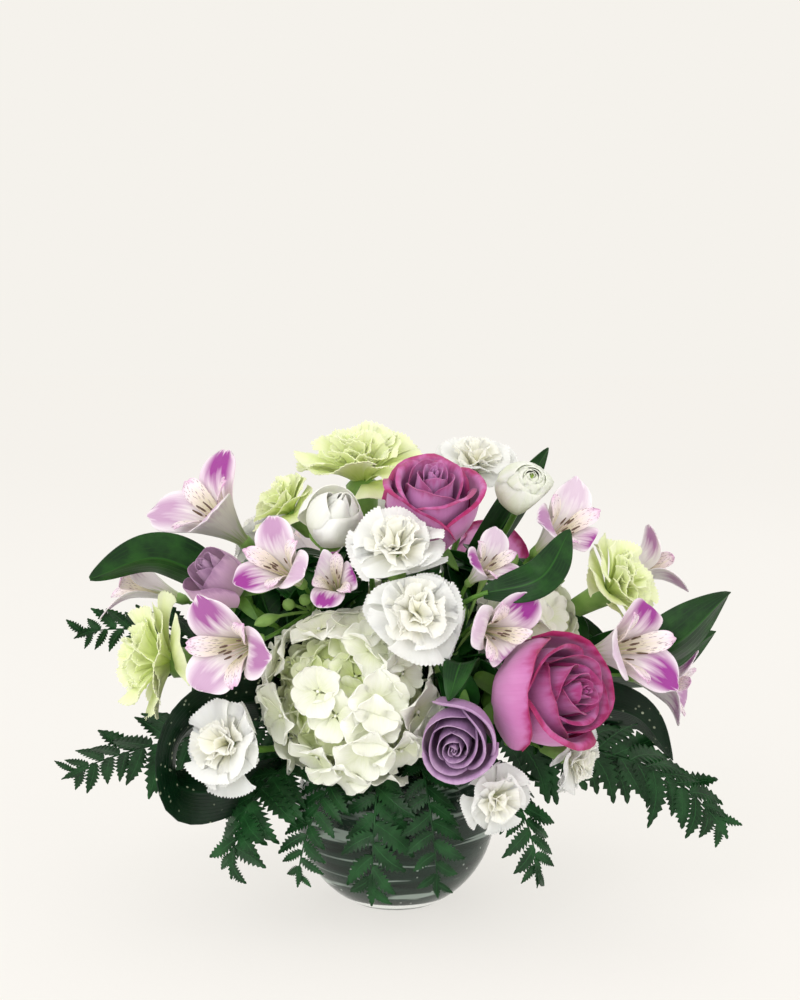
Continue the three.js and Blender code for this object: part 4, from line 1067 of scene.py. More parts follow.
@dataclass
class Bloom:
    """Where a flower head stands: its own frame has +Z out of its face.

    Args:
        middle: the head's middle in mm.
        turn: degrees from the front towards +X.
        tilt: degrees above level.
        across: the head's width in mm.
        depth: the head's depth as a share of its width.
        foot: how far its stem ends below it, as a share of its width.
        normals: the ways to its neighbours.
        limits: how far off the walls towards them stand, in mm.
    """

    middle: np.ndarray
    turn: float
    tilt: float
    across: float
    depth: float
    foot: float
    normals: np.ndarray = field(default_factory=lambda: np.zeros((0, 3)))
    limits: np.ndarray = field(default_factory=lambda: np.zeros(0))

    def __post_init__(self) -> None:
        """Works out the head's frame."""
        self.middle = np.array(self.middle, float)
        self.out = facing(self.turn, self.tilt)
        self.seat = self.middle - self.out * self.depth * self.across / 2
        side = unit(np.cross(UP, self.out))
        spin = math.radians(self.turn + 20)
        rise = np.cross(self.out, side)
        first = side * math.cos(spin) + rise * math.sin(spin)
        second = rise * math.cos(spin) - side * math.sin(spin)
        self.basis = np.stack([first, second, self.out])

    def meet(self, others: list[Bloom]) -> None:
        """Works out the walls between this bloom's cell and its neighbours'.

        Args:
            others: every bloom, itself too.
        """
        rest = [other for other in others if other is not self]
        ways = np.array([other.middle for other in rest]) - self.middle
        apart = np.linalg.norm(ways, axis=1)
        radii = np.array([other.across for other in rest]) / 2
        self.normals = ways / apart[:, None]
        self.limits = (apart**2 + (self.across / 2) ** 2 - radii**2) / (2 * apart) - CELL_GAP / 2

    def press(self, points: np.ndarray) -> np.ndarray:
        """Draws points in towards the middle where they would leave the bloom's cell.

        Args:
            points: (n, 3) places in mm.

        Returns:
            The places that they keep.
        """
        way = points - self.middle
        r = np.maximum(np.linalg.norm(way, axis=1), 1e-6)
        lean = np.maximum(0.01, (way / r[:, None]) @ self.normals.T)
        room = (self.limits[None] / lean).min(axis=1)
        free = PRESS * room
        slack = np.maximum(room - free, 1e-6)
        kept = np.where(r <= free, r, free + slack * (1 - np.exp(np.minimum(0, free - r) / slack)))
        return self.middle + way * (kept / r)[:, None]

    def settle(self, points: np.ndarray) -> np.ndarray:
        """Carries points of the bloom's own frame to their place, pressed."""
        return self.press(points @ self.basis + self.seat)

    def end(self, above: float) -> np.ndarray:
        """Where the stem ends: `above` its foot, which is pressed as the bloom is."""
        foot = self.seat - self.out * self.foot * self.across
        return self.press(foot[None])[0] + self.out * above

    def hides(self, points: np.ndarray) -> bool:
        """Whether any of the points stand in this bloom or in front of it, seen from the hub.

        Args:
            points: (n, 3) places in mm.

        Returns:
            True if one does.
        """
        if np.linalg.norm(points - self.middle, axis=1).min() < 0.4 * self.across:
            return True
        reach = np.linalg.norm(self.middle - HUB)
        way = (self.middle - HUB) / reach
        along = (points - HUB) @ way
        beside = np.linalg.norm(points - HUB - along[:, None] * way, axis=1)
        return bool(((along > 0.9 * reach) & (beside < 0.5 * self.across)).any())


def spread(ways: np.ndarray) -> np.ndarray:
    """The same ways, nudged apart until no two are closer than STEM_APART degrees.

    Args:
        ways: (n, 3) unit vectors, which it changes.

    Returns:
        The changed vectors.
    """
    apart = math.radians(STEM_APART)
    for _ in range(200):
        for i in range(len(ways)):
            for j in range(i + 1, len(ways)):
                lack = apart - math.acos(max(-1.0, min(1.0, float(ways[i] @ ways[j]))))
                if lack <= 0:
                    continue
                push = ways[i] - ways[j]
                push = push / np.linalg.norm(push) * 0.3 * lack
                ways[i] = unit(ways[i] + push)
                ways[j] = unit(ways[j] - push)
    return ways


class Rib:
    """A leaf's or frond's rib, with the frame along it that the blade is laid on."""

    def __init__(self, line: np.ndarray, roll: float) -> None:
        """Works out the frame.

        Args:
            line: (n, 3) even points of the rib in mm.
            roll: degrees that the face is rolled about the rib.
        """
        self.line = line
        self.way = unit(np.gradient(line, axis=0))
        level = unit(np.cross((line[-1] - line[0]) * [1, 1, 0], UP))
        side = unit(level[None] - (self.way @ level)[:, None] * self.way)
        angle = math.radians(roll)
        self.side = side * math.cos(angle) + np.cross(self.way, side) * math.sin(angle)
        self.face = np.cross(self.side, self.way)
        self.length = float(np.linalg.norm(np.diff(line, axis=0), axis=1).sum())

    def at(self, values: np.ndarray, share: np.ndarray) -> np.ndarray:
        """Reads an array of vectors at a share of the way along the rib."""
        stations = np.linspace(0, 1, len(self.line))
        return np.stack([np.interp(share, stations, values[:, k]) for k in range(3)], -1)

    def place(self, v: np.ndarray, y: np.ndarray, h: np.ndarray) -> np.ndarray:
        """Carries points from the flat blade to the bent one.

        Args:
            v: shares of the way along the rib; past 1, the rib goes on straight.
            y: mm to the side.
            h: mm out of the face.

        Returns:
            Places in mm.
        """
        t = np.clip(v, 0, 1)
        over = ((v - t) * self.length)[..., None]
        sideways = y[..., None] * self.at(self.side, t) + h[..., None] * self.at(self.face, t)
        return self.at(self.line, t) + over * self.at(self.way, t) + sideways


def ride(name: str, shape: Shape, finishes: list[Finish], node: str, slot: str) -> None:
    """Writes a piece, lets it ride and lets it stand for its CAD node.

    Args:
        name: the piece's name.
        shape: its shape in mm, in the row's frame.
        finishes: a finish for each material index.
        node: the CAD node that it replaces.
        slot: not used.
    """
    mesh = shape.mesh(name, MM)
    for finish in finishes:
        mesh.materials.append(finish.material())
    piece = bpy.data.objects.new(name, mesh)
    bpy.context.scene.collection.objects.link(piece)
    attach(piece, "root")
    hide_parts(node)
    LOG.info("%s: %d polygons for %s", name, len(shape.starts), node)


GROWTHS: dict[str, Growth] = {}


def growth_of(
    name: str,
    kind: type[Growth],
    finish: Finish,
    draw: Callable[[np.random.Generator], Shape],
    variants: int,
) -> Growth:
    """The growth tree of this name, made at its first use.

    Args:
        name: the tree's name.
        kind: its class.
        finish: the finish of what it grows.
        draw: draws one small shape to copy.
        variants: how many of them to draw.

    Returns:
        The tree.
    """
    if name not in GROWTHS:
        rng = np.random.default_rng(len(name))
        GROWTHS[name] = kind(name, [draw(rng) for _ in range(variants)], finish)
    return GROWTHS[name]


# ---------------------------------------------------------------- flowers
@dataclass
class Flower:
    """One flower head, made in its own frame.

    Args:
        across: its width in mm.
        seed: what its random draws start from.
    """

    across: float
    seed: int
    depth: ClassVar[float] = 0.8
    foot: ClassVar[float] = 0.2
    stem: ClassVar[float] = 2.0

    def head(self) -> Shape:
        """The petals and what belongs to them."""
        raise NotImplementedError

    def draws(self) -> np.random.Generator:
        """This flower's random numbers."""
        return np.random.default_rng(self.seed)


@dataclass
class Rose(Flower):
    """A rose: a furled heart in a spiral of cupped petals, the outer ones rolled back.

    Args:
        petals: how many there are.
        opened: how far the outer ones roll back.
        bloom: their finish.
        slot: a material slot name, passed on to ride.
    """

    petals: int = 26
    opened: float = 1.0
    bloom: PetalFinish = ROSE_PINK
    slot: str = "rose_pink"
    depth: ClassVar[float] = 0.82
    foot: ClassVar[float] = 0.22
    stem: ClassVar[float] = 2.4

    def head(self) -> Shape:
        """The petals, from the heart out."""
        size, height = self.across, self.across * self.depth
        rng = self.draws()
        k = np.arange(self.petals)[:, None, None]
        t = k / (self.petals - 1)
        u = np.linspace(-1, 1, 17)[None, None, :]
        v = np.linspace(0, 1, 17)[None, :, None]
        shift, tall, phase = (rng.uniform(-1, 1, (self.petals, 1, 1)) for _ in range(3))
        span = np.radians(118 - 40 * t**0.7) * (0.5 + 0.5 * np.sin(np.minimum(v * 1.9, 1.57)))
        angle = k * GOLDEN + 0.12 * shift + u * span
        reach = size * (0.035 + 0.445 * t**1.6)
        close = 0.4 * (1 - t) ** 2 + 0.25
        r = reach * np.sqrt(1 - (1 - v) ** 2.4) * (1 - close * v**3)
        r = r + u * size * 0.03 * v * (0.4 + 0.6 * t)
        curl = np.clip((v - 0.78) / 0.22, 0, 1)
        roll = size * 0.1 * self.opened * t**1.2 * (1 + 0.4 * phase)
        r = r + roll * curl**2 + size * 0.02 * t * u**4 * v
        r = r + size * 0.012 * t * v**2 * np.sin(4 * u + 6 * phase)
        top = height * (1.0 - 0.05 * (1 - t) ** 3 - 0.17 * t**1.5 + 0.04 * tall * t)
        rim = v * (1 - 0.14 * u**2 - 0.34 * u**6) + 0.05 * t * v**4 * np.exp(-((u / 0.2) ** 2))
        z = 1.0 + rim * top - 0.8 * roll * curl**3 * (1 - 0.3 * u**2)
        grids = np.stack([r * np.cos(angle), r * np.sin(angle), z + 0 * angle], -1)
        return sheets(grids, 0.75 - 0.4 * v + 0 * angle, t.ravel())

    def sepals(self) -> Shape:
        """The green cup and its five narrow sepals."""
        radius, length = self.across * 0.17, self.across * 0.36
        cup = [(0, -1.5), (0.4, -1.45), (0.72, -0.9), (0.75, -0.4), (0.55, -0.1), (0, -0.1)]
        k = np.arange(5)[:, None, None]
        v = np.linspace(0, 1, 11)[None, :, None]
        u = np.linspace(-1, 1, 5)[None, None, :]
        half = radius * 0.4 * (1 - v) ** 0.7 * (1 + 0.5 * np.sin(3 * v)) + 0.1
        angle = k * 2 * math.pi / 5
        r = radius * 0.5 + length * v
        z = -1.2 - length * (0.25 * v + 0.5 * v**2) + 0.2 * half * u**2
        x = r * np.cos(angle) - half * u * np.sin(angle)
        y = r * np.sin(angle) + half * u * np.cos(angle)
        narrow = sheets(np.stack([x, y, z + 0 * x], -1), 0.7)
        return Shape.join([turned([(r * radius, z * radius) for r, z in cup], 14), narrow])


@dataclass
class Ranunculus(Flower):
    """A ranunculus: a tight ball of thin round petals round a green eye, or a pointed bud.

    Args:
        pointed: whether it is still a bud.
        slot: a material slot name, passed on to ride.
    """

    pointed: bool = False
    slot: str = "ranunculus"
    depth: ClassVar[float] = 0.82
    foot: ClassVar[float] = 0.0

    @property
    def finishes(self) -> list[Finish]:
        """The finishes of petals, eye and cup."""
        return [BUD if self.pointed else BALL, EYE, CALYX]

    def head(self) -> Shape:
        """The petals and the eye."""
        size = self.across
        height = size * (1.02 if self.pointed else self.depth)
        count = 9 if self.pointed else 13
        rng = self.draws()
        k = np.arange(count)[:, None, None]
        t = k / (count - 1)
        u = np.linspace(-1, 1, 15)[None, None, :]
        v = np.linspace(0, 1, 13)[None, :, None]
        shift, phase = (rng.uniform(-1, 1, (count, 1, 1)) for _ in range(2))
        span = np.radians(98 - 12 * t) * (0.6 + 0.4 * np.sin(v * 2))
        angle = k * GOLDEN + 0.1 * shift + u * span
        if self.pointed:
            reach = size * (0.16 + 0.42 * t)
            closing = 0.97 - 0.28 * t**2
            top = height * (1.08 - 0.12 * t - 0.14 * t**4)
        else:
            reach = size * (0.14 + 0.36 * t**0.8)
            closing = 0.92 - 0.11 * t
            top = height * (0.93 - 0.16 * t**1.6)
        r = reach * np.sin(math.pi * np.clip(0.1 + (closing - 0.1) * v, 0, 1)) + 0.02 * size * u * v
        r = r + size * 0.008 * v**2 * np.sin(4 * u + 6 * phase)
        rim = v * (1 - (0.3 if self.pointed else 0.1) * u**2)
        grids = np.stack([r * np.cos(angle), r * np.sin(angle), 0.8 + rim * top + 0 * angle], -1)
        petals = sheets(grids, 0.6 - 0.25 * v + 0 * angle, rng.uniform(0, 1, count))
        eye_top = height * (0.9 if self.pointed else 0.86)
        eye = [(0, 1), (size * 0.07, 1), (size * 0.13, eye_top * 0.8), (size * 0.08, eye_top), (0, eye_top)]
        cup = [
            (0, -size * 0.06), (size * 0.1, -size * 0.05), (size * 0.26, 0.6), (size * 0.3, 1.6), (0, 2.2),
        ]
        return Shape.join([petals, turned(eye, 12, 1), turned(cup, 14, 2)])


@dataclass
class Carnation(Flower):
    """A carnation: toothed, ruffled petals, a ring of broad ones round a crumpled heart.

    Args:
        bloom: the petals' finish.
        slot: a material slot name, passed on to ride.
        petals: how many the heart has.
    """

    bloom: PetalFinish = WHITE_RUFFLE
    slot: str = "carnation_white"
    petals: int = 13
    depth: ClassVar[float] = 0.4
    foot: ClassVar[float] = 0.34

    @property
    def finishes(self) -> list[Finish]:
        """The finishes of petals and calyx."""
        return [self.bloom, CALYX]

    @staticmethod
    def petal(
        rng: np.random.Generator,
        columns: int,
        width: float,
        bends: tuple[float, float],
        folds: tuple[float, float],
        waves: tuple[float, float],
    ) -> Shape:
        """One petal of unit length: up +Z from its claw, then arching over to +X.

        Args:
            rng: random numbers.
            columns: how many points across, an odd number.
            width: how far its sides spread.
            bends: the least and most degrees that it arches.
            folds: the height of the broad folds and of the fine ones.
            waves: how many broad and fine folds go across half of it.

        Returns:
            The closed petal.
        """
        rows = 9
        v = np.linspace(0, 1, rows)[:, None]
        u = np.linspace(-1, 1, columns)[None, :]
        bend = math.radians(rng.uniform(*bends)) * v**1.5
        step = 1.0 / (rows - 1)
        x = np.cumsum(np.sin(bend) * step, axis=0) - np.sin(bend[0]) * step
        z = np.cumsum(np.cos(bend) * step, axis=0) - step
        notch = np.where(np.arange(columns) % 2, 0.0, 0.036)[None, :]
        length = 1 - notch * (v > 0.99) - 0.16 * u**2 * v + 0.02 * np.sin(3 * u + 4) * v
        half = 0.05 + width * v**1.4
        phase, other = rng.uniform(0, 6.3, 2)
        fold = folds[0] * v**1.6 * np.sin(math.pi * rng.uniform(0.85, 1.15) * waves[0] * u + phase)
        fine = np.sin(math.pi * rng.uniform(0.85, 1.15) * waves[1] * u + other)
        fold = fold + folds[1] * v**2.5 * fine
        along_x = x * length - fold * np.cos(bend) - 0.05 * u**2 * v
        along_z = z * length + fold * np.sin(bend)
        grid = np.stack([along_x, half * u * (1 - 0.12 * u**2), along_z], -1)
        return sheets(grid[None], 0.009)

    @classmethod
    def heart_petal(cls, rng: np.random.Generator) -> Shape:
        """A crumpled petal of the heart."""
        return cls.petal(rng, 25, 0.44, (14, 46), (0.085, 0.014), (1.3, 3.8))

    @classmethod
    def guard_petal(cls, rng: np.random.Generator) -> Shape:
        """A broad petal of the outer ring."""
        return cls.petal(rng, 33, 0.54, (16, 52), (0.055, 0.01), (1.1, 3.2))

    def head(self) -> Shape:
        """The ruffled petals and the calyx."""
        size, name = self.across, self.bloom.name
        heart = growth_of(f"{name}_heart", SpiralGrowth, self.bloom, self.heart_petal, 6)
        guard = growth_of(f"{name}_guard", SpiralGrowth, self.bloom, self.guard_petal, 6)
        common = {"Shell": 0.0, "Depth": 1.0, "Seed": self.seed}
        inside = heart.grow(
            0, Count=self.petals, FirstTilt=math.radians(-6), LastTilt=math.radians(30), Crowding=0.75,
            FirstSize=size * 0.43, LastSize=size * 0.47, Smallest=0.78, Wobble=0.16, Spin=0.7, **common,
        )
        outside = guard.grow(
            0, Count=12, FirstTilt=math.radians(34), LastTilt=math.radians(64), Crowding=1.0,
            FirstSize=size * 0.5, LastSize=size * 0.58, Smallest=0.8, Wobble=0.13, Spin=0.35, **common,
        )
        inside.tone = 0.35 * inside.tone
        outside.tone = 0.6 + 0.4 * outside.tone
        green = [
            (0, -0.36), (0.05, -0.35), (0.085, -0.3), (0.1, -0.12), (0.115, 0), (0.05, 0.06), (0, 0.06),
        ]
        calyx = turned([(r * size, z * size) for r, z in green], 12, 1)
        return Shape.join([inside, outside, calyx])


@dataclass
class Hydrangea(Flower):
    """A mophead hydrangea: four-petalled florets all over a round head, greener inside it.

    Args:
        florets: how many are in the outer layer.
        floret: a floret's width in mm.
        slot: a material slot name, passed on to ride.
    """

    florets: int = 16
    floret: float = 44.0
    slot: str = "hydrangea"
    depth: ClassVar[float] = 0.4
    foot: ClassVar[float] = 0.09
    stem: ClassVar[float] = 3.0

    @property
    def finishes(self) -> list[Finish]:
        """The finishes of florets and core."""
        return [MOPHEAD, EYE]

    @staticmethod
    def one(rng: np.random.Generator) -> Shape:
        """One floret of unit width: four broad round petals about a bead, facing +Z.

        Args:
            rng: random numbers.

        Returns:
            The closed floret.
        """
        v = np.linspace(0, 1, 11)[None, :, None]
        u = np.linspace(-1, 1, 9)[None, None, :]
        k = np.arange(4)[:, None, None]
        lift, twist, long = (rng.uniform(-1, 1, (4, 1, 1)) for _ in range(3))
        half = 0.02 + 0.245 * np.sqrt(np.clip(1 - ((v - 0.6) / 0.43) ** 2, 0, 1))
        reach = (0.5 + 0.05 * long) * v * (1 - 0.14 * np.abs(u) ** 2.2 * v**3)
        z = (0.17 + 0.16 * lift) * v**1.5 - (0.12 + 0.09 * lift) * v**5 + 0.11 * u**2 * v
        z = z + 0.02 * (k % 2) + 0.1 * twist * u * v + 0.02 * np.sin(5 * u + 9 * twist) * v**2
        angle = k * math.pi / 2 + 0.14 * twist
        x = reach * np.cos(angle) - half * u * np.sin(angle)
        y = reach * np.sin(angle) + half * u * np.cos(angle)
        petals = sheets(np.stack([x, y, z + 0 * x], -1), 0.014)
        bead = turned([(0, -0.02), (0.03, 0.0), (0.03, 0.05), (0, 0.07)], 6)
        stalk = turned([(0, -0.35), (0.02, -0.34), (0.02, 0.0), (0, 0.01)], 5)
        return Shape.join([petals, bead, stalk])

    def head(self) -> Shape:
        """Two layers of florets over a green core."""
        radius, deep = self.across / 2, 0.8
        growth = growth_of("hydrangea_mophead", SpiralGrowth, MOPHEAD, self.one, 5)
        common = {"FirstTilt": 0.16, "LastTilt": 1.7, "Crowding": 0.55, "Depth": deep, "Spin": 1.6}
        outer = growth.grow(
            0, Count=self.florets, Shell=radius * 0.84, FirstSize=self.floret, LastSize=self.floret,
            Smallest=0.7, Wobble=0.42, Seed=self.seed, **common,
        )
        outer.tone = outer.tone**2 * 0.9
        inner = growth.grow(
            0, Count=self.florets + 4, Shell=radius * 0.6, FirstSize=self.floret * 0.85,
            LastSize=self.floret * 0.85, Smallest=0.9, Wobble=0.1, Seed=self.seed + 7, **common,
        )
        inner.tone = 0.6 + 0.4 * inner.tone
        core = [(0, -0.3), (0.3, -0.26), (0.45, 0.05), (0.36, 0.25), (0.2, 0.36), (0, 0.4)]
        middle = turned([(r * radius, z * radius * deep) for r, z in core], 20, 1)
        return Shape.join([outer, inner, middle])


@dataclass
class Alstroemeria(Flower):
    """An alstroemeria flower: a funnel of broad outer and narrow flecked inner tepals."""

    depth: ClassVar[float] = 0.95
    foot: ClassVar[float] = 0.1
    stem: ClassVar[float] = 1.3

    def tepals(self, inner: bool, rng: np.random.Generator, finish: int) -> Shape:
        """Three tepals of one ring.

        Args:
            inner: whether they are the narrow ones.
            rng: random numbers.
            finish: the material index.

        Returns:
            The closed tepals.
        """
        size = self.across
        width, flare = (0.1, 0.1) if inner else (0.25, 0.24)
        k = np.arange(3)[:, None, None]
        v = 1 - (1 - np.linspace(0, 1, 23)[None, :, None]) ** 1.5
        u = np.linspace(-1, 1, 13)[None, None, :]
        turn, curl, phase = (rng.uniform(-1, 1, (3, 1, 1)) for _ in range(3))
        angle = np.radians(120 * k + (60 if inner else 0)) + 0.1 * turn
        widest = 0.74 if inner else 0.72
        rise = np.clip(v / widest, 0, 1)
        fall = np.clip((v - widest) / (1.015 - widest), 0, 1)
        half = size * width * (0.2 + 0.8 * rise**1.6 * (2.2 - 1.2 * rise)) * (1 - fall**3) ** 0.5
        t = v * (1 - 0.04 * u**2 * v**2)
        spoon = np.clip((t - 0.42) / 0.58, 0, 1) ** 2
        r = size * (0.045 + (0.22 if inner else 0.27) * t**1.2 + flare * spoon)
        r = r - 0.3 * half * u**2 * (1 - 0.8 * v) + size * 0.016 * np.sin(4 * u + 6 * phase) * v**2
        z = size * (0.02 + 0.86 * t * (1.2 - 0.2 * t) - (0.13 + 0.06 * curl) * spoon)
        x = r * np.cos(angle) - half * u * np.sin(angle)
        y = r * np.sin(angle) + half * u * np.cos(angle)
        return sheets(np.stack([x, y, z + 0 * x], -1), 0.6, rng.uniform(0, 1, 3), finish)

    @staticmethod
    def stamen(rng: np.random.Generator) -> Shape:
        """One stamen of unit length, up +Z and bowed.

        Args:
            rng: random numbers.

        Returns:
            The closed stamen.
        """
        t = np.linspace(0, 1, 9)[:, None]
        lean, sway = rng.uniform(-1, 1, 2)
        line = np.concatenate([0.08 * lean * t**2, 0.06 * sway * t**2, t], -1)
        radii = np.where(t[:, 0] > 0.86, 0.018, 0.008)
        radii[-1] = 0.01
        return tube(line, radii, 6)

    def head(self) -> Shape:
        """The tepals, the stamens and the green ovary."""
        size = self.across
        rng = self.draws()
        stamens = growth_of("alstroemeria_stamens", SpiralGrowth, STAMEN, self.stamen, 4).grow(
            2, Count=6, FirstTilt=0.08, LastTilt=0.24, Crowding=1.0, Shell=size * 0.03, Depth=0.0,
            FirstSize=size * 0.72, LastSize=size * 0.62, Smallest=0.84, Wobble=0.05, Spin=3.1,
            Seed=self.seed,
        )
        green = [(0, -0.13), (0.03, -0.12), (0.065, -0.06), (0.07, 0.02), (0.04, 0.06), (0, 0.06)]
        ovary = turned([(r * size, z * size) for r, z in green], 10, 3)
        return Shape.join([self.tepals(False, rng, 0), self.tepals(True, rng, 1), stamens, ovary])


def flower_of(kind: Kind, across: float, seed: int, options: dict) -> Flower:
    """Makes a flower of a kind.

    Args:
        kind: its kind.
        across: its width in mm.
        seed: what its random draws start from.
        options: what differs from its kind.

    Returns:
        The flower.
    """
    makers = {
        Kind.PINK_ROSE: (Rose, {"bloom": ROSE_PINK, "slot": "rose_pink"}),
        Kind.LILAC_ROSE: (Rose, {"bloom": ROSE_LILAC, "slot": "rose_pink"}),
        Kind.LAVENDER_ROSE: (Rose, {"bloom": ROSE_LAVENDER, "slot": "rose_lavender"}),
        Kind.MAUVE_ROSE: (Rose, {"bloom": ROSE_MAUVE, "slot": "rose_mauve"}),
        Kind.HYDRANGEA: (Hydrangea, {}),
        Kind.WHITE_CARNATION: (Carnation, {}),
        Kind.GREEN_CARNATION: (Carnation, {"bloom": GREEN_RUFFLE, "slot": "carnation_green"}),
        Kind.RANUNCULUS: (Ranunculus, {}),
        Kind.BUD: (Ranunculus, {"pointed": True}),
    }
    maker, usual = makers[kind]
    return maker(across, seed, **{**usual, **options})


# ---------------------------------------------------------------- greenery
@dataclass
class Stem:
    """A stem from its start in the foam to where it carries a head, leaf or frond.

    Args:
        name: the CAD node that it belongs to.
        end: its top in mm.
        out: which way it points there.
        radius: its radius in mm.
        way: which way it leaves the hub.
    """

    name: str
    end: np.ndarray
    out: np.ndarray
    radius: float
    way: np.ndarray | None = None

    def line(self) -> np.ndarray:
        """Points along the stem."""
        start = HUB + self.way * STEM_START
        length = np.linalg.norm(self.end - start)
        return bezier([start, self.end - self.out * 0.3 * length, self.end], 16)

    def shape(self, finish: int) -> Shape:
        """The stem, a little swollen at its top."""
        line = self.line()
        swell = 1 + 0.25 * np.linspace(0, 1, len(line)) ** 8
        return tube(line, self.radius * swell, 9, finish)


@dataclass
class Leaf:
    """A pointed leaf along its midrib.

    Args:
        name: the CAD node that it stands for, or none.
        rib: points of the midrib in mm.
        width: its width in mm.
        roll: degrees that its face is rolled about the midrib.
        spotted: whether it is a spotted aspidistra leaf.
        tone: its shade, from 0 to 1.
    """

    name: str
    rib: list[tuple[float, float, float]]
    width: float
    roll: float = 0.0
    spotted: bool = False
    tone: float = 0.3

    def blade(self, finish: int = 0) -> Shape:
        """The blade: folded along the rib, waved and drawn out to a point.

        Args:
            finish: the material index.

        Returns:
            The closed blade.
        """
        line = smooth_line(self.rib, 48)
        v = np.linspace(0, 1, 41)[:, None]
        u = np.linspace(-1, 1, 13)[None, :]
        swell = np.maximum(0, np.sin(math.pi * (0.05 + 0.95 * v**0.95))) ** 0.75
        half = self.width / 2 * (0.05 + 0.95 * swell)
        wave = 0.035 * self.width * np.sin(9 * v + 2 * u) * np.abs(u)
        h = 0.3 * half * np.abs(u) ** 1.3 + wave
        grid = Rib(line, self.roll).place(v + 0 * u, half * u, h)
        return sheets(grid[None], 0.8, self.tone, finish)


@dataclass
class Frond:
    """A leatherleaf fern frond: toothed pinnae in pairs on a curved rib.

    Args:
        name: the CAD node that it stands for.
        rib: the rib's root, two bends and tip in mm.
        width: its width in mm.
        bare: the share of the rib without pinnae.
        roll: degrees that its face is rolled about the rib.
        seed: what its random draws start from.
    """

    name: str
    rib: list[tuple[float, float, float]]
    width: float
    bare: float
    roll: float
    seed: int
    apart: ClassVar[float] = 11.0

    def line(self) -> np.ndarray:
        """Points along the rib."""
        return bezier([np.array(p, float) for p in self.rib], 40)

    @staticmethod
    def pinna(rng: np.random.Generator) -> Shape:
        """One pinna of unit length along +X, its lobes cut in like teeth that point forward.

        Args:
            rng: random numbers.

        Returns:
            The closed pinna.
        """
        rows = 17
        v = np.linspace(0, 1, rows)[:, None]
        u = np.linspace(-1, 1, 3)[None, :]
        side = np.abs(u)
        lobe, cut = (np.arange(rows) % 2)[:, None] * side, (1 - np.arange(rows) % 2)[:, None] * side
        lance = np.sin(math.pi * (0.24 + 0.76 * v))
        half = 0.012 + rng.uniform(0.19, 0.23) * np.maximum(lance, 0)
        half = half * (1 - cut * (0.56 - 0.24 * v))
        x = v + 0.075 * lobe * (1 - v) + 0.03 * side * (1 - v)
        bow = rng.uniform(-0.08, 0.08) * np.sin(math.pi * v)
        z = 0.03 * side + rng.uniform(-0.16, 0.02) * v**2 + 0.02 * lobe * u + 0 * x
        return sheets(np.stack([x, half * u + bow, z], -1)[None], 0.022)

    def blade(self, finish: int = 0) -> Shape:
        """The whole frond, bent along its rib.

        Args:
            finish: the material index.

        Returns:
            The closed rib and pinnae.
        """
        line = self.line()
        rib = Rib(line, self.roll)
        longest = self.width * 0.66
        flat = growth_of("fern_frond", RibGrowth, FERN, self.pinna, 4).grow(
            finish, Pairs=round(rib.length * (1 - self.bare) / self.apart), Length=rib.length,
            Bare=self.bare, Lean=math.radians(54), Widest=longest, BowStart=0.36, BowEnd=0.87,
            Smallest=0.74, Seed=self.seed,
        )
        tip = self.pinna(np.random.default_rng(self.seed)).placed(
            lambda p: p * longest * 0.5 + [rib.length - longest * 0.42, 0, 0]
        )
        bent = Shape.join([flat, tip]).placed(
            lambda p: rib.place(p[:, 0] / rib.length, p[:, 1], p[:, 2] - 0.006 * p[:, 1] ** 2)
        )
        radii = FROND_RIB * np.linspace(1.0, 0.3, len(line))
        return Shape.join([bent, tube(line, radii, 7, finish)])


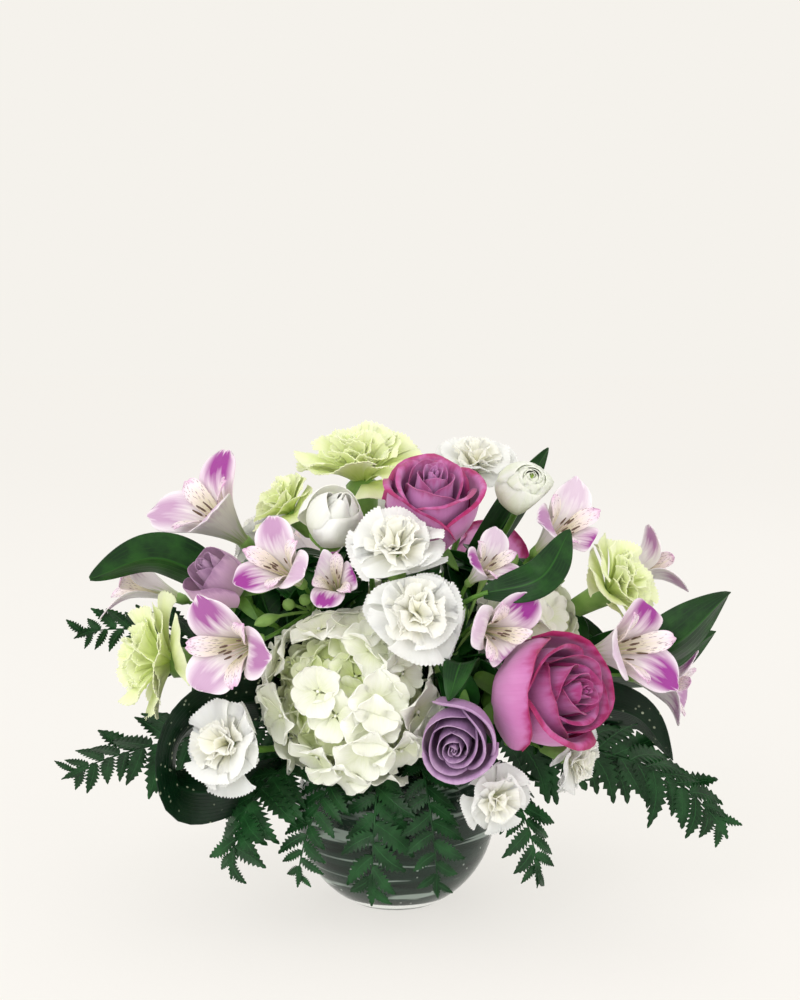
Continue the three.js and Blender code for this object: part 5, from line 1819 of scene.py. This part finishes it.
# ---------------------------------------------------------------- the vessel
@dataclass
class Vessel:
    """The glass bubble bowl, the leaf that lines it and the foam that it holds.

    Args:
        radius: the bowl's outer radius in mm.
        middle: its widest height.
        rim: its rim's height.
        wall: its thickness.
        floor: the height of its inner floor.
        lining_top: the height of the leaf inside it.
        wave_from: the height from which that leaf's edge waves.
        sides: how many sides its round shapes have.
    """

    radius: float = 65.0
    middle: float = 58.0
    rim: float = 104.0
    wall: float = 3.5
    floor: float = 7.0
    lining_top: float = 94.0
    wave_from: float = 60.0
    sides: int = 112

    def arc(self, radius: float, low: float, high: float, steps: int) -> list[tuple[float, float]]:
        """Points of a round wall.

        Args:
            radius: its radius in mm.
            low: the height where it starts.
            high: the height where it ends.
            steps: how many steps to take.

        Returns:
            (radius, height) of each point, from low to high.
        """
        start, end = (math.asin((height - self.middle) / radius) for height in (low, high))
        angles = np.linspace(start, end, steps + 1)
        return [(radius * math.cos(a), self.middle + radius * math.sin(a)) for a in angles]

    def bowl(self) -> Shape:
        """The glass: a thick floor, a round wall and a fire-polished lip."""
        inside = self.radius - self.wall
        outer = self.arc(self.radius, 0.9, self.rim, 28)
        foot = [(0, 0), (outer[0][0] - 2.5, 0), (outer[0][0] - 0.8, 0.25)]
        hollow = self.arc(inside, self.floor + 1.2, self.rim, 26)[::-1]
        lip_x = (outer[-1][0] + hollow[0][0]) / 2
        lip = [(lip_x + 1.3, self.rim + 1.2), (lip_x, self.rim + 1.75), (lip_x - 1.3, self.rim + 1.2)]
        floor = [(hollow[-1][0] - 3, self.floor + 0.2), (0, self.floor)]
        return turned([*foot, *outer, *lip, *hollow, *floor], self.sides)

    def wave(self, points: np.ndarray) -> np.ndarray:
        """Lets the top edge of the leaf in the bowl rise and fall.

        Args:
            points: (n, 3) places in mm.

        Returns:
            Their new places.
        """
        angle = np.arctan2(points[:, 1], points[:, 0])
        high = (points[:, 2] - self.wave_from) / (self.lining_top - self.wave_from)
        high = np.clip(high, 0, 1) ** 2
        rise = high * (1.5 * np.sin(3 * angle + 1) + np.sin(7 * angle) - 1.5)
        return points + rise[:, None] * UP

    def lining(self) -> Shape:
        """The leaf inside the glass; it is wet, so its face is a hair inside the glass's."""
        outside = self.radius - self.wall + 0.5
        outer = self.arc(outside, self.floor + 0.2, self.lining_top, 24)
        inner = self.arc(outside - 2.0, self.floor + 1.6, self.lining_top, 24)[::-1]
        profile = [(0, outer[0][1]), *outer, *inner, (0, inner[-1][1])]
        return turned(profile, self.sides).placed(self.wave)

    def foam(self) -> Shape:
        """The block of foam, its edges worn round."""
        low = [(0, 9.6), (26, 9.6), (29, 11), (35.4, 22), (36, 26)]
        high = [(36, 138), (35, 144), (30, 151), (22, 155), (10, 156), (0, 156)]
        return turned([*low, *high], 48)

    def build(self) -> None:
        """Makes the three pieces."""
        ride("bubble_bowl_glass", self.bowl(), [GlassFinish()], "glass_bowl", "glass")
        ride("bowl_lining_leaf", self.lining(), [LiningFinish()], "leaf_lining", "aspidistra")
        ride("wet_foam", self.foam(), [FoamFinish()], "foam_block", "foam")


# ---------------------------------------------------------------- the arrangement
class Arrangement:
    """Every flower, spray, leaf and frond, with the stems that share the foam."""

    def __init__(self) -> None:
        """Places the blooms and works out their cells and stems."""
        self.flowers = []
        for seed, (name, kind, at, turn, tilt, across, options) in enumerate(FLOWERS):
            flower = flower_of(kind, across, seed, options)
            bloom = Bloom(at, turn, tilt, across, flower.depth, flower.foot)
            self.flowers.append((name, flower, bloom))
        self.sprays = []
        for seed, (name, fork, heads) in enumerate(SPRAYS):
            made = [Alstroemeria(head[3], 100 + 10 * seed + i) for i, head in enumerate(heads)]
            blooms = [Bloom(*head, Alstroemeria.depth, Alstroemeria.foot) for head in heads]
            self.sprays.append((name, np.array(fork, float), made, blooms))
        self.blooms = [row[2] for row in self.flowers] + [b for row in self.sprays for b in row[3]]
        for bloom in self.blooms:
            bloom.meet(self.blooms)
        self.leaves = [Leaf(name, rib, width, **more) for name, rib, width, more in LEAVES]
        self.fronds = [Frond(*row, seed) for seed, row in enumerate(FRONDS)]
        self.stems = self.root()

    def root(self) -> dict[str, Stem]:
        """The stems by name, spread apart in the foam."""
        stems = [Stem(name, b.end(3), b.out, f.stem) for name, f, b in self.flowers]
        stems += [Stem(name, fork, unit(fork - HUB), 2.0) for name, fork, _, _ in self.sprays]
        for leaf in self.leaves:
            line = smooth_line(leaf.rib, 50)
            stems.append(Stem(leaf.name, line[2], unit(line[1] - line[0]), 1.4))
        for frond in self.fronds:
            line = frond.line()
            stems.append(Stem(frond.name, line[3], unit(line[1] - line[0]), 1.4))
        for stem, way in zip(stems, spread(np.array([unit(stem.end - HUB) for stem in stems]))):
            stem.way = way
        return {stem.name: stem for stem in stems}

    def foliage(
        self, line: np.ndarray, seed: int, count: int, size: float, width: float, finish: int
    ) -> list[Shape]:
        """Leaves on a stem, each clear of every bloom.

        Args:
            line: the stem's points.
            seed: what the random draws start from.
            count: the most leaves that there may be.
            size: their length in mm.
            width: their width as a share of it.
            finish: the material index.

        Returns:
            The closed leaves.
        """
        rng = np.random.default_rng(seed)
        way = unit(line[-1] - line[0])
        leaves = []
        for _ in range(8 * count):
            at = line[rng.integers(len(line) * 2 // 5, len(line) - 1)]
            side = unit(np.cross(way, facing(rng.uniform(0, 360), 17)))
            reach, rise, roll, tone = rng.uniform((0.7, 0.0, -50, 0), (1.1, 0.5, 50, 1))
            half_way = at + size * reach * (0.5 * side + 0.3 * way)
            tip = at + size * reach * (side + rise * way - 0.15 * UP)
            blade = Leaf("", [at, half_way, tip], size * width, roll, False, tone).blade(finish)
            low, out = blade.points[:, 2].min(), np.linalg.norm(blade.points - HUB, axis=1).max()
            if len(leaves) == count or low < LEAF_LOWEST or out > LEAF_FARTHEST:
                continue
            if not any(bloom.hides(blade.points) for bloom in self.blooms):
                leaves.append(blade)
        return leaves

    def buds(self, fork: np.ndarray, near: list[Bloom], seed: int) -> list[Shape]:
        """Closed buds on stalks, each clear of every bloom.

        Args:
            fork: where their stalks start in mm.
            near: the blooms that they stand by.
            seed: what the random draws start from.

        Returns:
            BUDS_MOST buds, or fewer.
        """
        rng = np.random.default_rng(seed)
        # The last half of the stalk swells into the bud.
        t = np.clip((np.linspace(0, 1, 27) - 0.5) / 0.5, 0, 1)
        radii = 1.0 + 2.9 * np.sin(math.pi * t**1.2) - 0.7 * t**4
        buds = []
        for _ in range(BUD_TRIES):
            bloom = near[rng.integers(len(near))]
            tip = bloom.middle + rng.uniform(-1, 1, 3) * (0.4 * bloom.across + 16)
            line = bezier([fork, 0.5 * (fork + tip) + 6 * unit(tip - HUB), tip], 26)
            held = BUD_NEAREST < np.linalg.norm(tip - HUB) < BUD_FARTHEST and tip[2] > BUD_LOWEST
            if len(buds) == BUDS_MOST or not held:
                continue
            if not any(other.hides(line[14:]) for other in self.blooms):
                buds.append(tube(line, radii, 9, 3))
        return buds

    def build_flower(self, seed: int, name: str, flower: Flower, bloom: Bloom) -> None:
        """Makes one flower: a rose as two pieces, any other as one.

        Args:
            seed: what its leaves' random draws start from.
            name: the CAD node.
            flower: the head.
            bloom: where it stands.
        """
        head = flower.head().placed(bloom.settle)
        stem = self.stems[name]
        if isinstance(flower, Rose):
            ride(f"{name}_petals", head, [flower.bloom], f"{name}_head", flower.slot)
            leaves = self.foliage(stem.line(), seed, 5, 44, 0.5, 1)
            green = [flower.sepals().placed(bloom.settle), stem.shape(0), *leaves]
            ride(f"{name}_green", Shape.join(green), [STALK, MOPHEAD_LEAF], f"{name}_stem", "stem")
            return
        shapes = [head, stem.shape(len(flower.finishes))]
        if isinstance(flower, Hydrangea):
            shapes += self.foliage(stem.line(), seed, 9, 72, 0.55, len(flower.finishes) + 1)
        finishes = [*flower.finishes, STALK, MOPHEAD_LEAF]
        ride(f"{name}_flower", Shape.join(shapes), finishes, name, flower.slot)

    def build_spray(
        self, seed: int, name: str, fork: np.ndarray, made: list[Flower], blooms: list[Bloom]
    ) -> None:
        """Makes one spray: its flowers, buds and stalks, the stem and its leaves.

        Args:
            seed: what its leaves' random draws start from.
            name: the CAD node.
            fork: the top of its stem in mm.
            made: its flowers.
            blooms: where they stand.
        """
        stem = self.stems[name]
        shapes = [stem.shape(4), *self.foliage(stem.line(), seed, 14, 50, 0.32, 5)]
        node = fork + 3 * unit(HUB - fork)
        shapes += self.buds(node, blooms, seed)
        for flower, bloom in zip(made, blooms):
            shapes.append(flower.head().placed(bloom.settle))
            stalk = bezier([node, bloom.end(-10), bloom.end(2)], 12)
            shapes.append(tube(stalk, 1.3, 7, 4))
        finishes = [TEPAL, INNER_TEPAL, STAMEN, CALYX, STALK, SPRAY_LEAF]
        ride(f"{name}_spray", Shape.join(shapes), finishes, name, "alstroemeria")

    def build(self) -> None:
        """Makes every piece of the arrangement."""
        for seed, row in enumerate(self.flowers):
            self.build_flower(seed, *row)
        for seed, row in enumerate(self.sprays):
            self.build_spray(seed, *row)
        for leaf in self.leaves:
            shape = Shape.join([leaf.blade(0), self.stems[leaf.name].shape(1)])
            finishes = [ASPIDISTRA if leaf.spotted else BROAD_LEAF, STALK]
            slot = "aspidistra" if leaf.spotted else "leaf"
            ride(f"{leaf.name}_blade", shape, finishes, leaf.name, slot)
        for frond in self.fronds:
            shape = Shape.join([frond.blade(0), self.stems[frond.name].shape(1)])
            ride(f"{frond.name}_frond", shape, [FERN, STALK], frond.name, "fern")


# ---------------------------------------------------------------- the studio
@dataclass
class Studio:
    """The floor, the soft lights and the camera of the photograph.

    Args:
        floor_half: half the floor's side in metres.
        camera_at: the camera's place in metres.
        pitch: degrees that the camera looks down.
        lens: its focal length in mm.
        aim: where the lights look, in metres.
        backdrop: the colour of the light all round.
        strength: its strength.
    """

    floor_half: float = 8.0
    camera_at: tuple[float, float, float] = (0.003, -1.125, 0.389)
    pitch: float = 6.5
    lens: float = 63.7
    aim: tuple[float, float, float] = (0.0, 0.0, 0.16)
    backdrop: str = "f5f2ec"
    strength: float = 1.0

    def build(self) -> None:
        """Makes the stage."""
        half = self.floor_half
        corners = [(-half, -half, 0), (half, -half, 0), (half, half, 0), (-half, half, 0)]
        mesh = bpy.data.meshes.new("floor")
        mesh.from_pydata(corners, [], [(0, 1, 2, 3)])
        mesh.materials.append(BackdropFinish().material())
        floor = bpy.data.objects.new("floor", mesh)
        bpy.context.scene.collection.objects.link(floor)
        self.light("key", (-0.8, -1.5, 1.0), 1.3, 15.5)
        self.light("fill", (1.3, -1.2, 0.7), 1.4, 6.0)
        self.light("rim", (0.4, 1.5, 1.6), 1.4, 3.0)
        world = bpy.data.worlds.new("studio")
        world.use_nodes = True
        world.node_tree.nodes.clear()
        light = {"Color": self.backdrop, "Strength": self.strength}
        sky = add(world.node_tree, "ShaderNodeBackground", light)
        add(world.node_tree, "ShaderNodeOutputWorld", {"Surface": sky})
        bpy.context.scene.world = world
        data = bpy.data.cameras.new("camera")
        data.lens = self.lens
        camera = bpy.data.objects.new("camera", data)
        camera.location = self.camera_at
        camera.rotation_euler = (math.radians(90 - self.pitch), 0, 0)
        bpy.context.scene.collection.objects.link(camera)
        bpy.context.scene.camera = camera
        bpy.context.scene.view_settings.view_transform = "Standard"

    def light(self, name: str, at: tuple[float, float, float], size: float, power: float) -> None:
        """One large soft light that looks at the arrangement's middle.

        Args:
            name: its name.
            at: its place in metres.
            size: its side in metres.
            power: its power in watts.
        """
        data = bpy.data.lights.new(name, "AREA")
        data.size = size
        data.energy = power
        light = bpy.data.objects.new(name, data)
        light.location = at
        light.rotation_euler = (Vector(self.aim) - Vector(at)).to_track_quat("-Z", "Y").to_euler()
        bpy.context.scene.collection.objects.link(light)


def main() -> None:
    """Builds the frame, the stage and every piece."""
    logging.basicConfig(level=logging.INFO, format="%(message)s")
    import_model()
    Studio().build()
    Vessel().build()
    Arrangement().build()


if __name__ == "__main__":
    main()
